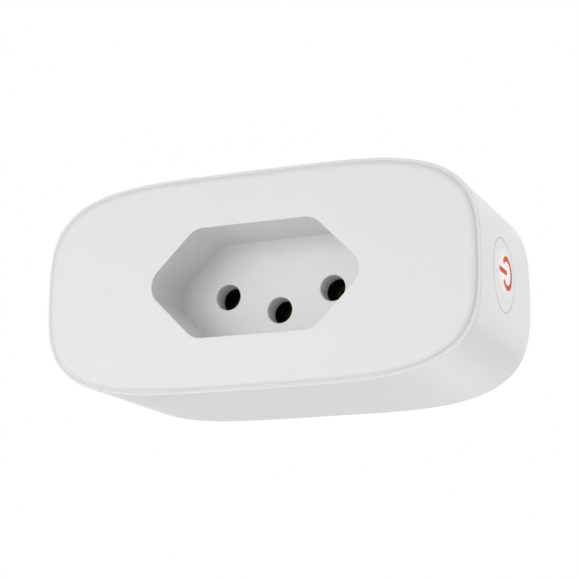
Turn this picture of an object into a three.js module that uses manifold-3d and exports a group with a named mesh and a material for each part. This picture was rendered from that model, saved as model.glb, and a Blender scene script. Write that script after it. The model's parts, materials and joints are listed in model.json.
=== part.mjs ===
// Smart plug for three-pin outlets: a rounded housing with a recessed hexagonal socket in front,
// a hexagonal plug boss with three round pins behind, and the switching electronics between them.
// Millimetres. The origin is the centre of the plug's engagement face: +Y runs along the pins into the
// wall outlet, the socket faces -Y, +X is the side with the power button, and +Z is up.

import * as THREE from "three";
import { mergeVertices } from "three/addons/utils/BufferGeometryUtils.js";
import Module from "manifold-3d";

const wasm = await Module();
wasm.setup();

// ---------------------------------------------------------------- Driving sizes

// Housing
const BODY_WIDTH = 76.4;
const BODY_HEIGHT = 36.6;
const BODY_DEPTH = 30.7;
const OUTLINE_POWER_X = 4.4; // superellipse exponents: the higher, the squarer the corners
const OUTLINE_POWER_Z = 3.3;
const SIDE_WALL = 2.0;
const REAR_WALL = 2.2;
const REAR_EDGE_ROUND = 2.0;
const LIP_SETBACK = 0.5; // the cover's face stands this far proud of the housing's lip
const LIP_THICKNESS = 0.45;

// Front cover
const COVER_THICKNESS = 2.2;
const COVER_EDGE_WIDTH = 0.8; // rounded rim, measured across the face
const COVER_EDGE_DEPTH = 0.45;
const SEAM = 0.25; // groove between cover and lip
const SEAM_DEPTH = 0.6; // its bottom, measured from the cover's face
const SKIRT_THICKNESS = 1.2;
const SKIRT_TO_BUTTON = 1.1; // the skirt ends this far in front of the button's flange

// Three-pin system
const PIN_SPACING = 19.0;
const EARTH_OFFSET = 3.0;
const PIN_DIAMETER = 4.0;
const PIN_LENGTH = 19.0;
const PIN_TIP_ROUND = 1.0;
const PIN_FLANGE_DIAMETER = 6.4;
const PIN_FLANGE_THICKNESS = 1.9;
const PIN_TAIL_DIAMETER = 2.8;
const PIN_TAIL_LENGTH = 2.9;

// Hexagonal socket well, and the plug boss that matches it
const WELL_TIP = 10.25; // from a live pin's axis to the hexagon's sharp tip, before rounding
const WELL_HALF_HEIGHT = 9.25;
const WELL_CORNER = 3.5;
const WELL_DEPTH = 11.3;
const WELL_WALL = 1.5;
const WELL_FLOOR = 3.2;
const ENTRY_HOLE_DIAMETER = 4.4;
const ENTRY_CHAMFER = 0.2;
const CONTACT_RECESS = 4.8; // from the back of the well to the contacts, out of a finger's reach
const BOSS_HEIGHT = 11.0;
const BOSS_CLEARANCE = 0.5; // how much smaller each side of the boss is than the well
const BOSS_WALL = 2.0;
const BOSS_EDGE_ROUND = 0.5;

// Circuit board
const BOARD_THICKNESS = 1.6;
const BOARD_STANDOFF = 1.4;
const BOARD_EDGE_GAP = 0.6;

// Fasteners
const SCREW_DIAMETER = 2.6;
const SCREW_LENGTH = 9.0;
const SCREW_HEAD_DIAMETER = 4.4;
const SCREW_HEAD_HEIGHT = 1.6;
const SCREW_SPREAD = 0.663; // screw axis from the middle, as a share of the inner half width
const SCREW_FROM_TOP = 3.9; // screw axis to the inner face of the top or bottom wall
const SCREW_SEAT = 2.1; // plastic left under a screw head
const POST_WALL = 0.6;
const POST_BEYOND_BOARD = 1.8;
const LEDGE_WIDTH = 1.2; // shoulder around a post that the board rests on
const PILOT_WALL = 1.3;
const SMALL_SCREW_DIAMETER = 1.7;
const SMALL_SCREW_LENGTH = 3.2;
const SMALL_SCREW_HEAD = 3.4;
const SMALL_SCREW_HEAD_HEIGHT = 1.1;

// Power button
const BUTTON_DIAMETER = 12.2;
const BUTTON_FROM_FRONT = 13.2; // button centre behind the cover's face
const BUTTON_GAP = 0.15;
const BUTTON_TRAVEL = 0.4;
const BUTTON_TOP = 1.2;
const BUTTON_FLANGE = 0.8; // how far the flange reaches beyond the cap
const SYMBOL_RADIUS = 2.4; // to the middle of the stroke
const SYMBOL_STROKE = 0.7;
const SYMBOL_GAP_ANGLE = 38; // degrees, each side of the bar
const SYMBOL_BAR_START = 0.2; // from the ring's centre
const SYMBOL_BAR_LENGTH = 4.1;
const SYMBOL_SHIFT = 1.8; // the ring's centre lies this far behind the button's centre
const SYMBOL_RAISE = 0.65; // and this far above it
const SYMBOL_CLEARANCE = 0.08;
const GUIDE_THICKNESS = 1.0;

// Relay
const RELAY_LENGTH = 18.4;
const RELAY_WIDTH = 10.2;
const RELAY_FULLNESS = 0.75; // share of the room between board and skirt that its height takes
const RELAY_WALL_GAP = 1.0; // relay to side wall
const RELAY_SKIN = 0.6;
const ARMATURE_SWING = 4; // degrees
const RELAY_BASE_TOP = 2.3; // heights in the relay count from the board's front
const YOKE_THICKNESS = 1.0;
const YOKE_HALF_WIDTH = 3.2;
const BOBBIN_FLANGE = 0.8;
const BOBBIN_HALF = 4.1;
const BOBBIN_WALL = 0.7;
const ARMATURE_THICKNESS = 1.0;
const ARMATURE_HALF_WIDTH = 3.4;
const ARMATURE_GAP = 0.75; // from the open armature to the core's pole
const ARMATURE_HEADROOM = 0.95; // from the armature to the relay's cover
const BLADE_THICKNESS = 0.3;
const BLADE_HALF_WIDTH = 2.4;
const CONTACT_BUTTON_RADIUS = 1.3;
const CONTACT_BUTTON_HEIGHT = 0.6;
const CORE_RADIUS = 1.5;
const POLE_RADIUS = 2.6;
const COIL_Z = -1.6;
const HINGE_DROP = 0.45; // from the armature to the edge it turns on
const YOKE_MARGIN = 0.4; // from the relay's cover
const CONTACT_MARGIN = 2.5;
const TERMINAL_WIDTH = 0.8;
const TERMINAL_THICKNESS = 0.5;
const COIL_PIN_WIDTH = 0.6;
const BRACKET_WIDTH = 1.6; // half width of the fixed contact's bracket

// Power supply and control parts
const LEAD_RADIUS = 0.35;
const LEAD_BEYOND_BOARD = 0.8;
const CAN_EDGE = 0.4; // bevel at a capacitor's top
const CAN_GROOVE_DEPTH = 0.35;
const CAN_GROOVE = [2.0, 1.6, 1.2]; // the rolled groove's start, middle and end above the board
const MAINS_CAPACITOR_DIAMETER = 6.8;
const OUTPUT_CAPACITOR_DIAMETER = 6.3;
const VARISTOR_THICKNESS = 3.4;
const VARISTOR_STANDOFF = 0.6;
const RESISTOR_RADIUS = 1.5;
const RESISTOR_HALF_LENGTH = 3.6;
const RESISTOR_CAP_LENGTH = 1.8;
const RESISTOR_LEAD_BEND = 1.2; // how far each lead runs out before it bends down
const SUPPRESSOR_HALF_LENGTH = 4.5;
const SUPPRESSOR_HALF_WIDTH = 2.4;
const SUPPRESSOR_HALF_PITCH = 3.5;
const CHOKE_RIM_RADIUS = 3.3;
const CHOKE_WAIST_RADIUS = 1.6;
const CHOKE_FLANGE_SHARE = 1 / 6; // of its height
const CHOKE_WINDING_INSET = 0.4; // winding inside the rims
const LEG_THICKNESS = 0.2;
const LEG_REACH = 0.9;
const LEG_WIDTH_SHARE = 0.45; // of the pitch
const LEG_WIDTH_LIMIT = 1.0;
const UPPER_BAND_RAISE = 0.6; // from the middle of the band above the contact holder

// Radio module and button board
const RADIO_HALF = 8.8;
const RADIO_TAB_HALF = 6.0;
const RADIO_CAN_HEIGHT = 2.0;
const RADIO_CAN_SKIN = 0.25;
const RADIO_CAN_FRONT_MARGIN = 1.0;
const RADIO_CAN_REAR_MARGIN = 1.6;
const RADIO_CAN_LEFT_MARGIN = 0.8;
const RADIO_ANTENNA_LENGTH = 6.0; // bare board beside the can
const RADIO_CHIP_HALF = 2.5;
const RADIO_CHIP_HEIGHT = 0.9;
const SIDE_BOARD_THICKNESS = 1.0;
const SIDE_BOARD_HALF = 7.5;
const SIDE_BOARD_TAB = 4.0; // half width of the tab that plugs into the main board
const SIDE_BOARD_AHEAD = 5.5; // the board's front edge ahead of the button's axis
const SWITCH_HEIGHT = 2.1;
const SWITCH_HALF = 3.0;
const STEM_RADIUS = 1.7;
const STEM_DEPTH = 1.0; // stem inside the switch body
const STEM_PROUD = 1.1; // stem above the switch body at rest
const LED_RAISE = 4.6; // the LED's centre above the button's axis
const LED_HALF_DEPTH = 0.9;
const LED_HALF_HEIGHT = 0.7;
const LED_THICKNESS = 0.9;
const CAP_WALL = 0.9;
const CAP_FLANGE_THICKNESS = 1.0;

// Contacts and pin retainer
const CONTACT_GRIP = 0.05; // how much tighter than the pin's radius the sleeve is
const CONTACT_FOOT = 0.8; // the sleeve's foot, wider and deeper than the sleeve
const CONTACT_WALL = 0.7;
const CONTACT_SLOT = 0.7;
const CONTACT_SLOT_END = 2.2; // solid part of the sleeve behind its slots
const CONTACT_TAIL = 0.9;
const CONTACT_TAIL_HALF = 0.35;
const HOLDER_SIDE_WALL = 1.6;
const HOLDER_TOP_WALL = 1.8;
const HOLDER_BOTTOM_WALL = 1.2;
const HOLDER_CORNER = 2;
const HOLDER_STANDOFF = 1.4;
const RETAINER_THICKNESS = 1.4;
const RETAINER_POST_WALL = 1.0;
const RETAINER_PILOT_FLOOR = 0.4;
const RETAINER_SCREW_MARGIN = 0.8;
const STRAP_THICKNESS = 0.6;
const STRAP_WIDTH = 4.0;
const STRAP_EYE = 0.6; // how much wider the strap is round a pin
const EARTH_LEG_DROP = 2.4; // from the boss's inner top to the earth strap's leg
const TAB_WIDTH = 2.4;
const TAB_LENGTH = 1.0; // beyond the board's front

// How far a cutter or a hidden root runs past the surface it meets
const PAST = 1;

// Clearances
const FIT = 0.1; // between pieces that seat on each other
const LOOSE = 0.3; // between pieces that pass each other
const LEAD_GAP = 0.15; // around a lead in its board hole

// ---------------------------------------------------------------- Derived places

const WELL_HALF_WIDTH = PIN_SPACING / 2 + WELL_TIP;
const HALF_WIDTH = BODY_WIDTH / 2;
const HALF_HEIGHT = BODY_HEIGHT / 2;
const INNER_HALF_WIDTH = HALF_WIDTH - SIDE_WALL;
const INNER_HALF_HEIGHT = HALF_HEIGHT - SIDE_WALL;

const REAR_Y = -BOSS_HEIGHT;
const FRONT_Y = REAR_Y - BODY_DEPTH;
const LIP_Y = FRONT_Y + LIP_SETBACK;
const REAR_INNER_Y = REAR_Y - REAR_WALL;
const COVER_BACK_Y = FRONT_Y + COVER_THICKNESS;
const WELL_FLOOR_Y = FRONT_Y + WELL_DEPTH;
const WELL_BACK_Y = WELL_FLOOR_Y + WELL_FLOOR;
const BOARD_REAR_Y = REAR_INNER_Y - BOARD_STANDOFF;
const BOARD_FRONT_Y = BOARD_REAR_Y - BOARD_THICKNESS;
const LEAD_END_Y = BOARD_REAR_Y + LEAD_BEYOND_BOARD;
const SEAT_Y = BOARD_FRONT_Y - LOOSE; // where component bodies stand on the board
const BUTTON_Y = FRONT_Y + BUTTON_FROM_FRONT;
const BUTTON_RADIUS = BUTTON_DIAMETER / 2 - BUTTON_GAP;
const FLANGE_RADIUS = BUTTON_DIAMETER / 2 + BUTTON_FLANGE;
const SKIRT_REAR_Y = BUTTON_Y - FLANGE_RADIUS - SKIRT_TO_BUTTON;
const ROOM_BEHIND_WELL = SEAT_Y - WELL_BACK_Y;
const ROOM_BEHIND_SKIRT = SEAT_Y - SKIRT_REAR_Y;

const PINS = [
  { name: "line", x: PIN_SPACING / 2, z: 0 },
  { name: "neutral", x: -PIN_SPACING / 2, z: 0 },
  { name: "earth", x: 0, z: -EARTH_OFFSET },
];

const SCREW_X = INNER_HALF_WIDTH * SCREW_SPREAD;
const SCREW_Z = INNER_HALF_HEIGHT - SCREW_FROM_TOP;
const SCREW_PLACES = [
  [SCREW_X, SCREW_Z],
  [-SCREW_X, SCREW_Z],
  [-SCREW_X, -SCREW_Z],
  [SCREW_X, -SCREW_Z],
];
const POST_RADIUS = SCREW_HEAD_DIAMETER / 2 + FIT * 2 + POST_WALL;
const POST_TOP_Y = BOARD_FRONT_Y - POST_BEYOND_BOARD;
const SCREW_SEAT_Y = POST_TOP_Y + SCREW_SEAT;

// ---------------------------------------------------------------- Materials

const paint = (color, roughness, metalness = 0) =>
  new THREE.MeshStandardMaterial({ color, roughness, metalness });

const whiteShell = paint(0xf1f1ef, 0.42);
const blackPlastic = paint(0x1b1b1c, 0.6);
const ivoryPlastic = paint(0xe4dfd0, 0.55);
const nickel = paint(0xc9c7c1, 0.25, 1);
const brass = paint(0xc9a654, 0.35, 1);
const copper = paint(0xb8683a, 0.4, 1);
const steel = paint(0xa9abae, 0.35, 1);
const solderMask = paint(0x1c5a35, 0.5);
const litAmber = paint(0xf0623a, 0.4);
const aluminiumCan = paint(0xb9bcc0, 0.35, 1);
const bluePlastic = paint(0x2c62b4, 0.5);
const ferrite = paint(0x3b3c3f, 0.7);
const whiteDiffuser = paint(0xf4f2ea, 0.3);

// ---------------------------------------------------------------- Solids

// A closed geometry as a solid that can be cut and joined.
function solid(geometry) {
  const bare = geometry.clone();
  bare.deleteAttribute("normal");
  bare.deleteAttribute("uv");
  const merged = mergeVertices(bare, 1e-4);
  const mesh = new wasm.Mesh({
    numProp: 3,
    vertProperties: new Float32Array(merged.attributes.position.array),
    triVerts: new Uint32Array(merged.index.array),
  });
  return new wasm.Manifold(mesh);
}

// A solid as a named mesh.
function piece(name, shape, material) {
  const cut = shape.getMesh();
  const geometry = new THREE.BufferGeometry();
  geometry.setAttribute("position", new THREE.BufferAttribute(cut.vertProperties, 3));
  geometry.setIndex(new THREE.BufferAttribute(cut.triVerts, 1));
  geometry.computeVertexNormals();
  const mesh = new THREE.Mesh(geometry, material);
  mesh.name = name;
  return mesh;
}

const join = (...solids) => solids.reduce((whole, next) => whole.add(next));
const cutAway = (body, ...tools) => tools.reduce((rest, tool) => rest.subtract(tool), body);

// A box between two corners.
function block(x0, x1, y0, y1, z0, z1) {
  const geometry = new THREE.BoxGeometry(x1 - x0, y1 - y0, z1 - z0);
  return solid(geometry.translate((x0 + x1) / 2, (y0 + y1) / 2, (z0 + z1) / 2));
}

// A round bar along Y; its radius can differ at its two ends.
function rodY(x, z, y0, y1, radius, sides = 14, radiusAtStart = radius) {
  const geometry = new THREE.CylinderGeometry(radius, radiusAtStart, y1 - y0, sides);
  return solid(geometry.translate(x, (y0 + y1) / 2, z));
}

// A round bar along X.
function rodX(y, z, x0, x1, radius, sides = 16) {
  const geometry = new THREE.CylinderGeometry(radius, radius, x1 - x0, sides).rotateZ(-Math.PI / 2);
  return solid(geometry.translate((x0 + x1) / 2, y, z));
}

// A round bar along Z.
function rodZ(x, y, z0, z1, radius, sides = 16) {
  const geometry = new THREE.CylinderGeometry(radius, radius, z1 - z0, sides).rotateX(Math.PI / 2);
  return solid(geometry.translate(x, y, (z0 + z1) / 2));
}

// A profile of [radius, y] pairs turned round the Y axis through (x, z). It starts and ends on the axis.
function turned(x, z, profile, sides = 16) {
  const points = profile.map(([radius, y]) => new THREE.Vector2(radius, y));
  return solid(new THREE.LatheGeometry(points, sides).translate(x, 0, z));
}

// A profile drawn as seen from the front, between two depths.
function prism(shape, yFront, yRear) {
  const geometry = new THREE.ExtrudeGeometry(shape, {
    depth: yRear - yFront,
    bevelEnabled: false,
    curveSegments: 1,
  });
  return solid(geometry.rotateX(Math.PI / 2).translate(0, yRear, 0));
}

// The same with both end edges rounded: edgeWidth across the face, edgeDepth along Y.
function roundedPrism(shape, yFront, yRear, edgeWidth, edgeDepth, steps = 3) {
  const geometry = new THREE.ExtrudeGeometry(shape, {
    depth: yRear - yFront - 2 * edgeDepth,
    bevelEnabled: true,
    bevelThickness: edgeDepth,
    bevelSize: edgeWidth,
    bevelOffset: -edgeWidth,
    bevelSegments: steps,
    curveSegments: 1,
  });
  return solid(geometry.rotateX(Math.PI / 2).translate(0, yRear - edgeDepth, 0));
}

// ---------------------------------------------------------------- Profiles

const OUTLINE_POINTS = 52;

// The housing's outline, a superellipse, drawn inset by some distance.
function outline(inset) {
  const points = [];
  for (let i = 0; i < OUTLINE_POINTS; i++) {
    const turn = (2 * Math.PI * i) / OUTLINE_POINTS;
    const [c, s] = [Math.cos(turn), Math.sin(turn)];
    const x = (HALF_WIDTH - inset) * Math.sign(c) * Math.abs(c) ** (2 / OUTLINE_POWER_X);
    const z = (HALF_HEIGHT - inset) * Math.sign(s) * Math.abs(s) ** (2 / OUTLINE_POWER_Z);
    points.push(new THREE.Vector2(x, z));
  }
  return new THREE.Shape(points);
}

// Half width inside the side walls at height z.
function innerWallX(z) {
  const fullness = 1 - Math.abs(z / INNER_HALF_HEIGHT) ** OUTLINE_POWER_Z;
  return INNER_HALF_WIDTH * fullness ** (1 / OUTLINE_POWER_X);
}

// A closed polygon, anticlockwise, with every corner rounded.
function roundedPolygon(corners, radius, steps) {
  const points = [];
  corners.forEach((corner, i) => {
    const before = corners[(i + corners.length - 1) % corners.length];
    const after = corners[(i + 1) % corners.length];
    const back = before.clone().sub(corner).normalize();
    const ahead = after.clone().sub(corner).normalize();
    const half = Math.acos(back.dot(ahead)) / 2;
    const middle = back.clone().add(ahead).normalize();
    const centre = middle.multiplyScalar(radius / Math.sin(half)).add(corner);
    const first = back.multiplyScalar(radius / Math.tan(half)).add(corner).sub(centre).angle();
    for (let step = 0; step <= steps; step++) {
      const angle = first + ((Math.PI - 2 * half) * step) / steps;
      const arm = new THREE.Vector2(Math.cos(angle), Math.sin(angle)).multiplyScalar(radius);
      points.push(arm.add(centre));
    }
  });
  return new THREE.Shape(points);
}

// The socket system's hexagon with 45 degree flanks, grown outwards by some distance.
function hexagon(grow) {
  const tip = WELL_HALF_WIDTH + grow * Math.SQRT2;
  const top = WELL_HALF_HEIGHT + grow;
  const shoulder = tip - top;
  const corners = [
    [tip, 0],
    [shoulder, top],
    [-shoulder, top],
    [-tip, 0],
    [-shoulder, -top],
    [shoulder, -top],
  ];
  const points = corners.map(([x, z]) => new THREE.Vector2(x, z));
  return roundedPolygon(points, WELL_CORNER + grow, 4);
}

// ---------------------------------------------------------------- Housing

// The outer form without openings, rounded at its lip and at its rear edge.
function housingForm() {
  const beyond = 10;
  const round = LIP_THICKNESS;
  const front = roundedPrism(outline(0), LIP_Y, REAR_Y + beyond, round, round, 2);
  const rear = roundedPrism(outline(0), LIP_Y - beyond, REAR_Y, REAR_EDGE_ROUND, REAR_EDGE_ROUND, 3);
  return front.intersect(rear);
}

function rearHousing() {
  const cavity = prism(outline(SIDE_WALL), LIP_Y - 1, REAR_INNER_Y);
  const rebate = prism(outline(LIP_THICKNESS), LIP_Y - 1, COVER_BACK_Y + FIT);
  const boss = roundedPrism(hexagon(-BOSS_CLEARANCE), REAR_INNER_Y, 0, BOSS_EDGE_ROUND, BOSS_EDGE_ROUND, 2);
  const bossHollow = prism(hexagon(-BOSS_CLEARANCE - BOSS_WALL), REAR_INNER_Y - 1, -BOSS_WALL);
  const buttonHole = rodX(BUTTON_Y, 0, INNER_HALF_WIDTH - 4, HALF_WIDTH + 1, BUTTON_DIAMETER / 2, 40);
  let body = cutAway(housingForm(), cavity, rebate, buttonHole);
  body = cutAway(join(body, boss), bossHollow);
  for (const { x, z } of PINS) {
    body = body.subtract(rodY(x, z, -BOSS_WALL - 1, 1, PIN_DIAMETER / 2 + FIT));
  }
  const shaft = SMALL_SCREW_DIAMETER / 2;
  for (const [x, z] of RETAINER_SCREW_PLACES) {
    const root = -BOSS_WALL / 2;
    const post = rodY(x, z, RETAINER_REST_Y, root, shaft + RETAINER_POST_WALL, 12);
    const pilot = rodY(x, z, RETAINER_REST_Y - PAST, root - RETAINER_PILOT_FLOOR, shaft + FIT / 2, 12);
    body = body.add(post).subtract(pilot);
  }
  for (const [x, z] of SCREW_PLACES) {
    const ledge = rodY(x, z, BOARD_REAR_Y + FIT, REAR_INNER_Y + 1, POST_RADIUS + LEDGE_WIDTH);
    const post = rodY(x, z, POST_TOP_Y, REAR_INNER_Y + 1, POST_RADIUS);
    const headRoom = rodY(x, z, SCREW_SEAT_Y, REAR_Y + 1, SCREW_HEAD_DIAMETER / 2 + FIT * 2);
    const shaftRoom = rodY(x, z, POST_TOP_Y - 1, SCREW_SEAT_Y + 1, SCREW_DIAMETER / 2 + LEAD_GAP);
    body = cutAway(join(body, ledge, post), headRoom, shaftRoom);
  }
  return piece("rear_housing", body, whiteShell);
}

function frontCover() {
  const beyond = 10;
  const insetPlate = outline(LIP_THICKNESS + SEAM);
  const plate = roundedPrism(insetPlate, FRONT_Y, FRONT_Y + beyond, COVER_EDGE_WIDTH, COVER_EDGE_DEPTH);
  const [wide, high] = [BODY_WIDTH, BODY_HEIGHT];
  const behind = block(-wide, wide, COVER_BACK_Y, COVER_BACK_Y + 2 * beyond, -high, high);
  const skirtInset = SIDE_WALL + LOOSE;
  const skirt = cutAway(
    prism(outline(skirtInset), COVER_BACK_Y - 1, SKIRT_REAR_Y),
    prism(outline(skirtInset + SKIRT_THICKNESS), COVER_BACK_Y - 2, SKIRT_REAR_Y + 1),
  );
  const well = prism(hexagon(WELL_WALL), COVER_BACK_Y - 1, WELL_BACK_Y);
  const tongue = prism(outline(LIP_THICKNESS + FIT), FRONT_Y + SEAM_DEPTH, COVER_BACK_Y);
  let cover = join(plate.subtract(behind), tongue, skirt, well);
  cover = cover.subtract(prism(hexagon(0), FRONT_Y - 1, WELL_FLOOR_Y));
  for (const { x, z } of PINS) {
    const entry = ENTRY_HOLE_DIAMETER / 2;
    const hole = rodY(x, z, WELL_FLOOR_Y - 1, WELL_BACK_Y + 1, entry, 20);
    const [mouthY, mouthEndY] = [WELL_FLOOR_Y - PAST, WELL_FLOOR_Y + ENTRY_CHAMFER];
    const mouth = rodY(x, z, mouthY, mouthEndY, entry, 20, entry + PAST + ENTRY_CHAMFER);
    cover = cutAway(cover, hole, mouth);
  }
  for (const [x, z] of SCREW_PLACES) {
    const bossRadius = SCREW_DIAMETER / 2 + PILOT_WALL;
    const bossEnd = POST_TOP_Y - FIT;
    const boss = rodY(x, z, COVER_BACK_Y - 1, bossEnd, bossRadius);
    const pilotDepth = SCREW_LENGTH - SCREW_SEAT + 1;
    const pilot = rodY(x, z, bossEnd - pilotDepth, bossEnd + 1, SCREW_DIAMETER / 2 + FIT / 2, 12);
    cover = cutAway(join(cover, boss), pilot);
  }
  return piece("front_cover", cover, whiteShell);
}

// A self-tapping screw, head towards +Y, with a cross recess.
function screw(name, x, z, seatY, diameter, length, headDiameter, headHeight) {
  const head = headDiameter / 2;
  const shaft = diameter / 2;
  const body = turned(x, z, [
    [0, seatY - length],
    [shaft * 0.35, seatY - length],
    [shaft, seatY - length + diameter * 0.7],
    [shaft, seatY],
    [head, seatY],
    [head, seatY + headHeight * 0.45],
    [head * 0.6, seatY + headHeight],
    [0, seatY + headHeight],
  ], 12);
  const slot = headDiameter * 0.26;
  const arm = slot / 3;
  const bottom = seatY + headHeight * 0.45;
  const top = seatY + headHeight + 1;
  const recess = join(
    block(x - slot, x + slot, bottom, top, z - arm, z + arm),
    block(x - arm, x + arm, bottom, top, z - slot, z + slot),
  );
  return piece(name, body.subtract(recess), steel);
}

function housingScrews() {
  return SCREW_PLACES.map(([x, z], i) => {
    const seat = SCREW_SEAT_Y + FIT / 2;
    const sizes = [SCREW_DIAMETER, SCREW_LENGTH, SCREW_HEAD_DIAMETER, SCREW_HEAD_HEIGHT];
    return screw(`housing_screw_${i + 1}`, x, z, seat, ...sizes);
  });
}

// ---------------------------------------------------------------- Plug pins in the boss

const FLANGE_REAR_Y = -BOSS_WALL - FIT;
const RETAINER_REST_Y = FLANGE_REAR_Y - PIN_FLANGE_THICKNESS - FIT;
const RETAINER_FRONT_Y = RETAINER_REST_Y - RETAINER_THICKNESS;
const RETAINER_SCREW_X = PIN_SPACING / 4;
const BOSS_INNER_TOP = WELL_HALF_HEIGHT - BOSS_CLEARANCE - BOSS_WALL;
const RETAINER_SCREW_Z = BOSS_INNER_TOP - SMALL_SCREW_HEAD / 2 - RETAINER_SCREW_MARGIN;
const RETAINER_SCREW_PLACES = [
  [RETAINER_SCREW_X, RETAINER_SCREW_Z],
  [-RETAINER_SCREW_X, RETAINER_SCREW_Z],
];
const STRAP_REAR_Y = RETAINER_FRONT_Y - FIT;
const STRAP_FRONT_Y = STRAP_REAR_Y - STRAP_THICKNESS;
const BOSS_HOLLOW_TIP = WELL_HALF_WIDTH - (BOSS_CLEARANCE + BOSS_WALL) * Math.SQRT2;
const LIVE_LEG_X = BOSS_HOLLOW_TIP - STRAP_WIDTH / 2 - LOOSE;
const EARTH_LEG_Z = BOSS_INNER_TOP - EARTH_LEG_DROP;
const TAB_END_Y = BOARD_FRONT_Y - TAB_LENGTH;

function plugPin({ name, x, z }) {
  const radius = PIN_DIAMETER / 2;
  const flange = PIN_FLANGE_DIAMETER / 2;
  const tail = PIN_TAIL_DIAMETER / 2;
  const flangeFront = FLANGE_REAR_Y - PIN_FLANGE_THICKNESS;
  const profile = [
    [0, flangeFront - PIN_TAIL_LENGTH],
    [tail, flangeFront - PIN_TAIL_LENGTH],
    [tail, flangeFront],
    [flange, flangeFront],
    [flange, FLANGE_REAR_Y],
    [radius, FLANGE_REAR_Y],
    [radius, PIN_LENGTH - PIN_TIP_ROUND],
  ];
  const tipSteps = 3;
  for (let step = 1; step <= tipSteps; step++) {
    const angle = (Math.PI / 2) * (step / tipSteps);
    const inset = PIN_TIP_ROUND * (1 - Math.cos(angle));
    profile.push([radius - inset, PIN_LENGTH - PIN_TIP_ROUND * (1 - Math.sin(angle))]);
  }
  profile.push([0, PIN_LENGTH]);
  return piece(`${name}_pin`, turned(x, z, profile, 20), nickel);
}

function pinRetainer() {
  const inside = hexagon(-BOSS_CLEARANCE - BOSS_WALL - LOOSE);
  const [front, rear] = [RETAINER_FRONT_Y - PAST, RETAINER_REST_Y + PAST];
  let plate = prism(inside, RETAINER_FRONT_Y, RETAINER_REST_Y - FIT / 2);
  for (const { x, z } of PINS) plate = plate.subtract(rodY(x, z, front, rear, PIN_TAIL_DIAMETER / 2 + FIT));
  for (const [x, z] of RETAINER_SCREW_PLACES) {
    plate = plate.subtract(rodY(x, z, front, rear, SMALL_SCREW_DIAMETER / 2 + FIT, 12));
  }
  return piece("pin_retainer", plate, ivoryPlastic);
}

// The retainer's screws enter from the inside, so their heads point to -Y.
function retainerScrew([x, z], i) {
  const shaft = SMALL_SCREW_DIAMETER / 2;
  const head = SMALL_SCREW_HEAD / 2;
  const seat = RETAINER_FRONT_Y - FIT / 2;
  const top = seat - SMALL_SCREW_HEAD_HEIGHT;
  const body = turned(x, z, [
    [0, top],
    [head * 0.6, top],
    [head, top + SMALL_SCREW_HEAD_HEIGHT * 0.55],
    [head, seat],
    [shaft, seat],
    [shaft, seat + SMALL_SCREW_LENGTH * 0.7],
    [0, seat + SMALL_SCREW_LENGTH],
  ], 12);
  const slot = block(x - head * 0.55, x + head * 0.55, top - 1, top + 0.45, z - 0.2, z + 0.2);
  return piece(`retainer_screw_${i + 1}`, body.subtract(slot), steel);
}

// A strap's solder tab, narrowed where it passes the board.
function boardTab(x0, x1, z0, z1) {
  return block(x0, x1, TAB_END_Y, STRAP_REAR_Y, z0, z1);
}

// Line and neutral: from the pin's tail outwards, then forwards through the board.
function liveStrap({ name, x }) {
  const side = Math.sign(x);
  const [near, far] = [x, side * LIVE_LEG_X].sort((a, b) => a - b);
  const flat = join(
    rodY(x, 0, STRAP_FRONT_Y, STRAP_REAR_Y, STRAP_WIDTH / 2 + STRAP_EYE),
    block(near, far, STRAP_FRONT_Y, STRAP_REAR_Y, -STRAP_WIDTH / 2, STRAP_WIDTH / 2),
  );
  const legSides = [side * LIVE_LEG_X, side * (LIVE_LEG_X - STRAP_THICKNESS)];
  const [legNear, legFar] = legSides.sort((a, b) => a - b);
  const leg = block(legNear, legFar, BOARD_REAR_Y + LOOSE, STRAP_REAR_Y, -STRAP_WIDTH / 2, STRAP_WIDTH / 2);
  const tab = boardTab(legNear, legFar, -TAB_WIDTH / 2, TAB_WIDTH / 2);
  const hole = rodY(x, 0, STRAP_FRONT_Y - 1, STRAP_REAR_Y + 1, PIN_TAIL_DIAMETER / 2 + FIT / 2);
  return piece(`${name}_strap`, join(flat, leg, tab).subtract(hole), brass);
}

// Earth: upwards between the retainer's screws, then forwards through the board.
function earthStrap({ name, x, z }) {
  const half = STRAP_WIDTH / 2;
  const narrow = TAB_WIDTH / 2;
  const legBottom = EARTH_LEG_Z - STRAP_THICKNESS;
  const flat = join(
    rodY(x, z, STRAP_FRONT_Y, STRAP_REAR_Y, half + STRAP_EYE),
    block(x - half, x + half, STRAP_FRONT_Y, STRAP_REAR_Y, z, EARTH_LEG_Z),
  );
  const leg = block(x - half, x + half, BOARD_REAR_Y + LOOSE, STRAP_REAR_Y, legBottom, EARTH_LEG_Z);
  const tab = boardTab(x - narrow, x + narrow, legBottom, EARTH_LEG_Z);
  const hole = rodY(x, z, STRAP_FRONT_Y - 1, STRAP_REAR_Y + 1, PIN_TAIL_DIAMETER / 2 + FIT / 2);
  return piece(`${name}_strap`, join(flat, leg, tab).subtract(hole), brass);
}

// ---------------------------------------------------------------- Socket contacts

const CONTACT_BORE = PIN_DIAMETER / 2 - CONTACT_GRIP;
const CONTACT_RADIUS = CONTACT_BORE + CONTACT_WALL;
const CONTACT_BASE_RADIUS = CONTACT_RADIUS + CONTACT_FOOT;
const CONTACT_FRONT_Y = WELL_BACK_Y + CONTACT_RECESS;
const CONTACT_REAR_Y = BOARD_FRONT_Y - FIT;
const HOLDER_FRONT_Y = WELL_BACK_Y + FIT;
const HOLDER_REAR_Y = BOARD_FRONT_Y - HOLDER_STANDOFF;
const HOLDER_HALF_WIDTH = PIN_SPACING / 2 + CONTACT_RADIUS + HOLDER_SIDE_WALL;
const HOLDER_TOP = CONTACT_RADIUS + HOLDER_TOP_WALL;
const HOLDER_BOTTOM = -EARTH_OFFSET - CONTACT_RADIUS - HOLDER_BOTTOM_WALL;

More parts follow.
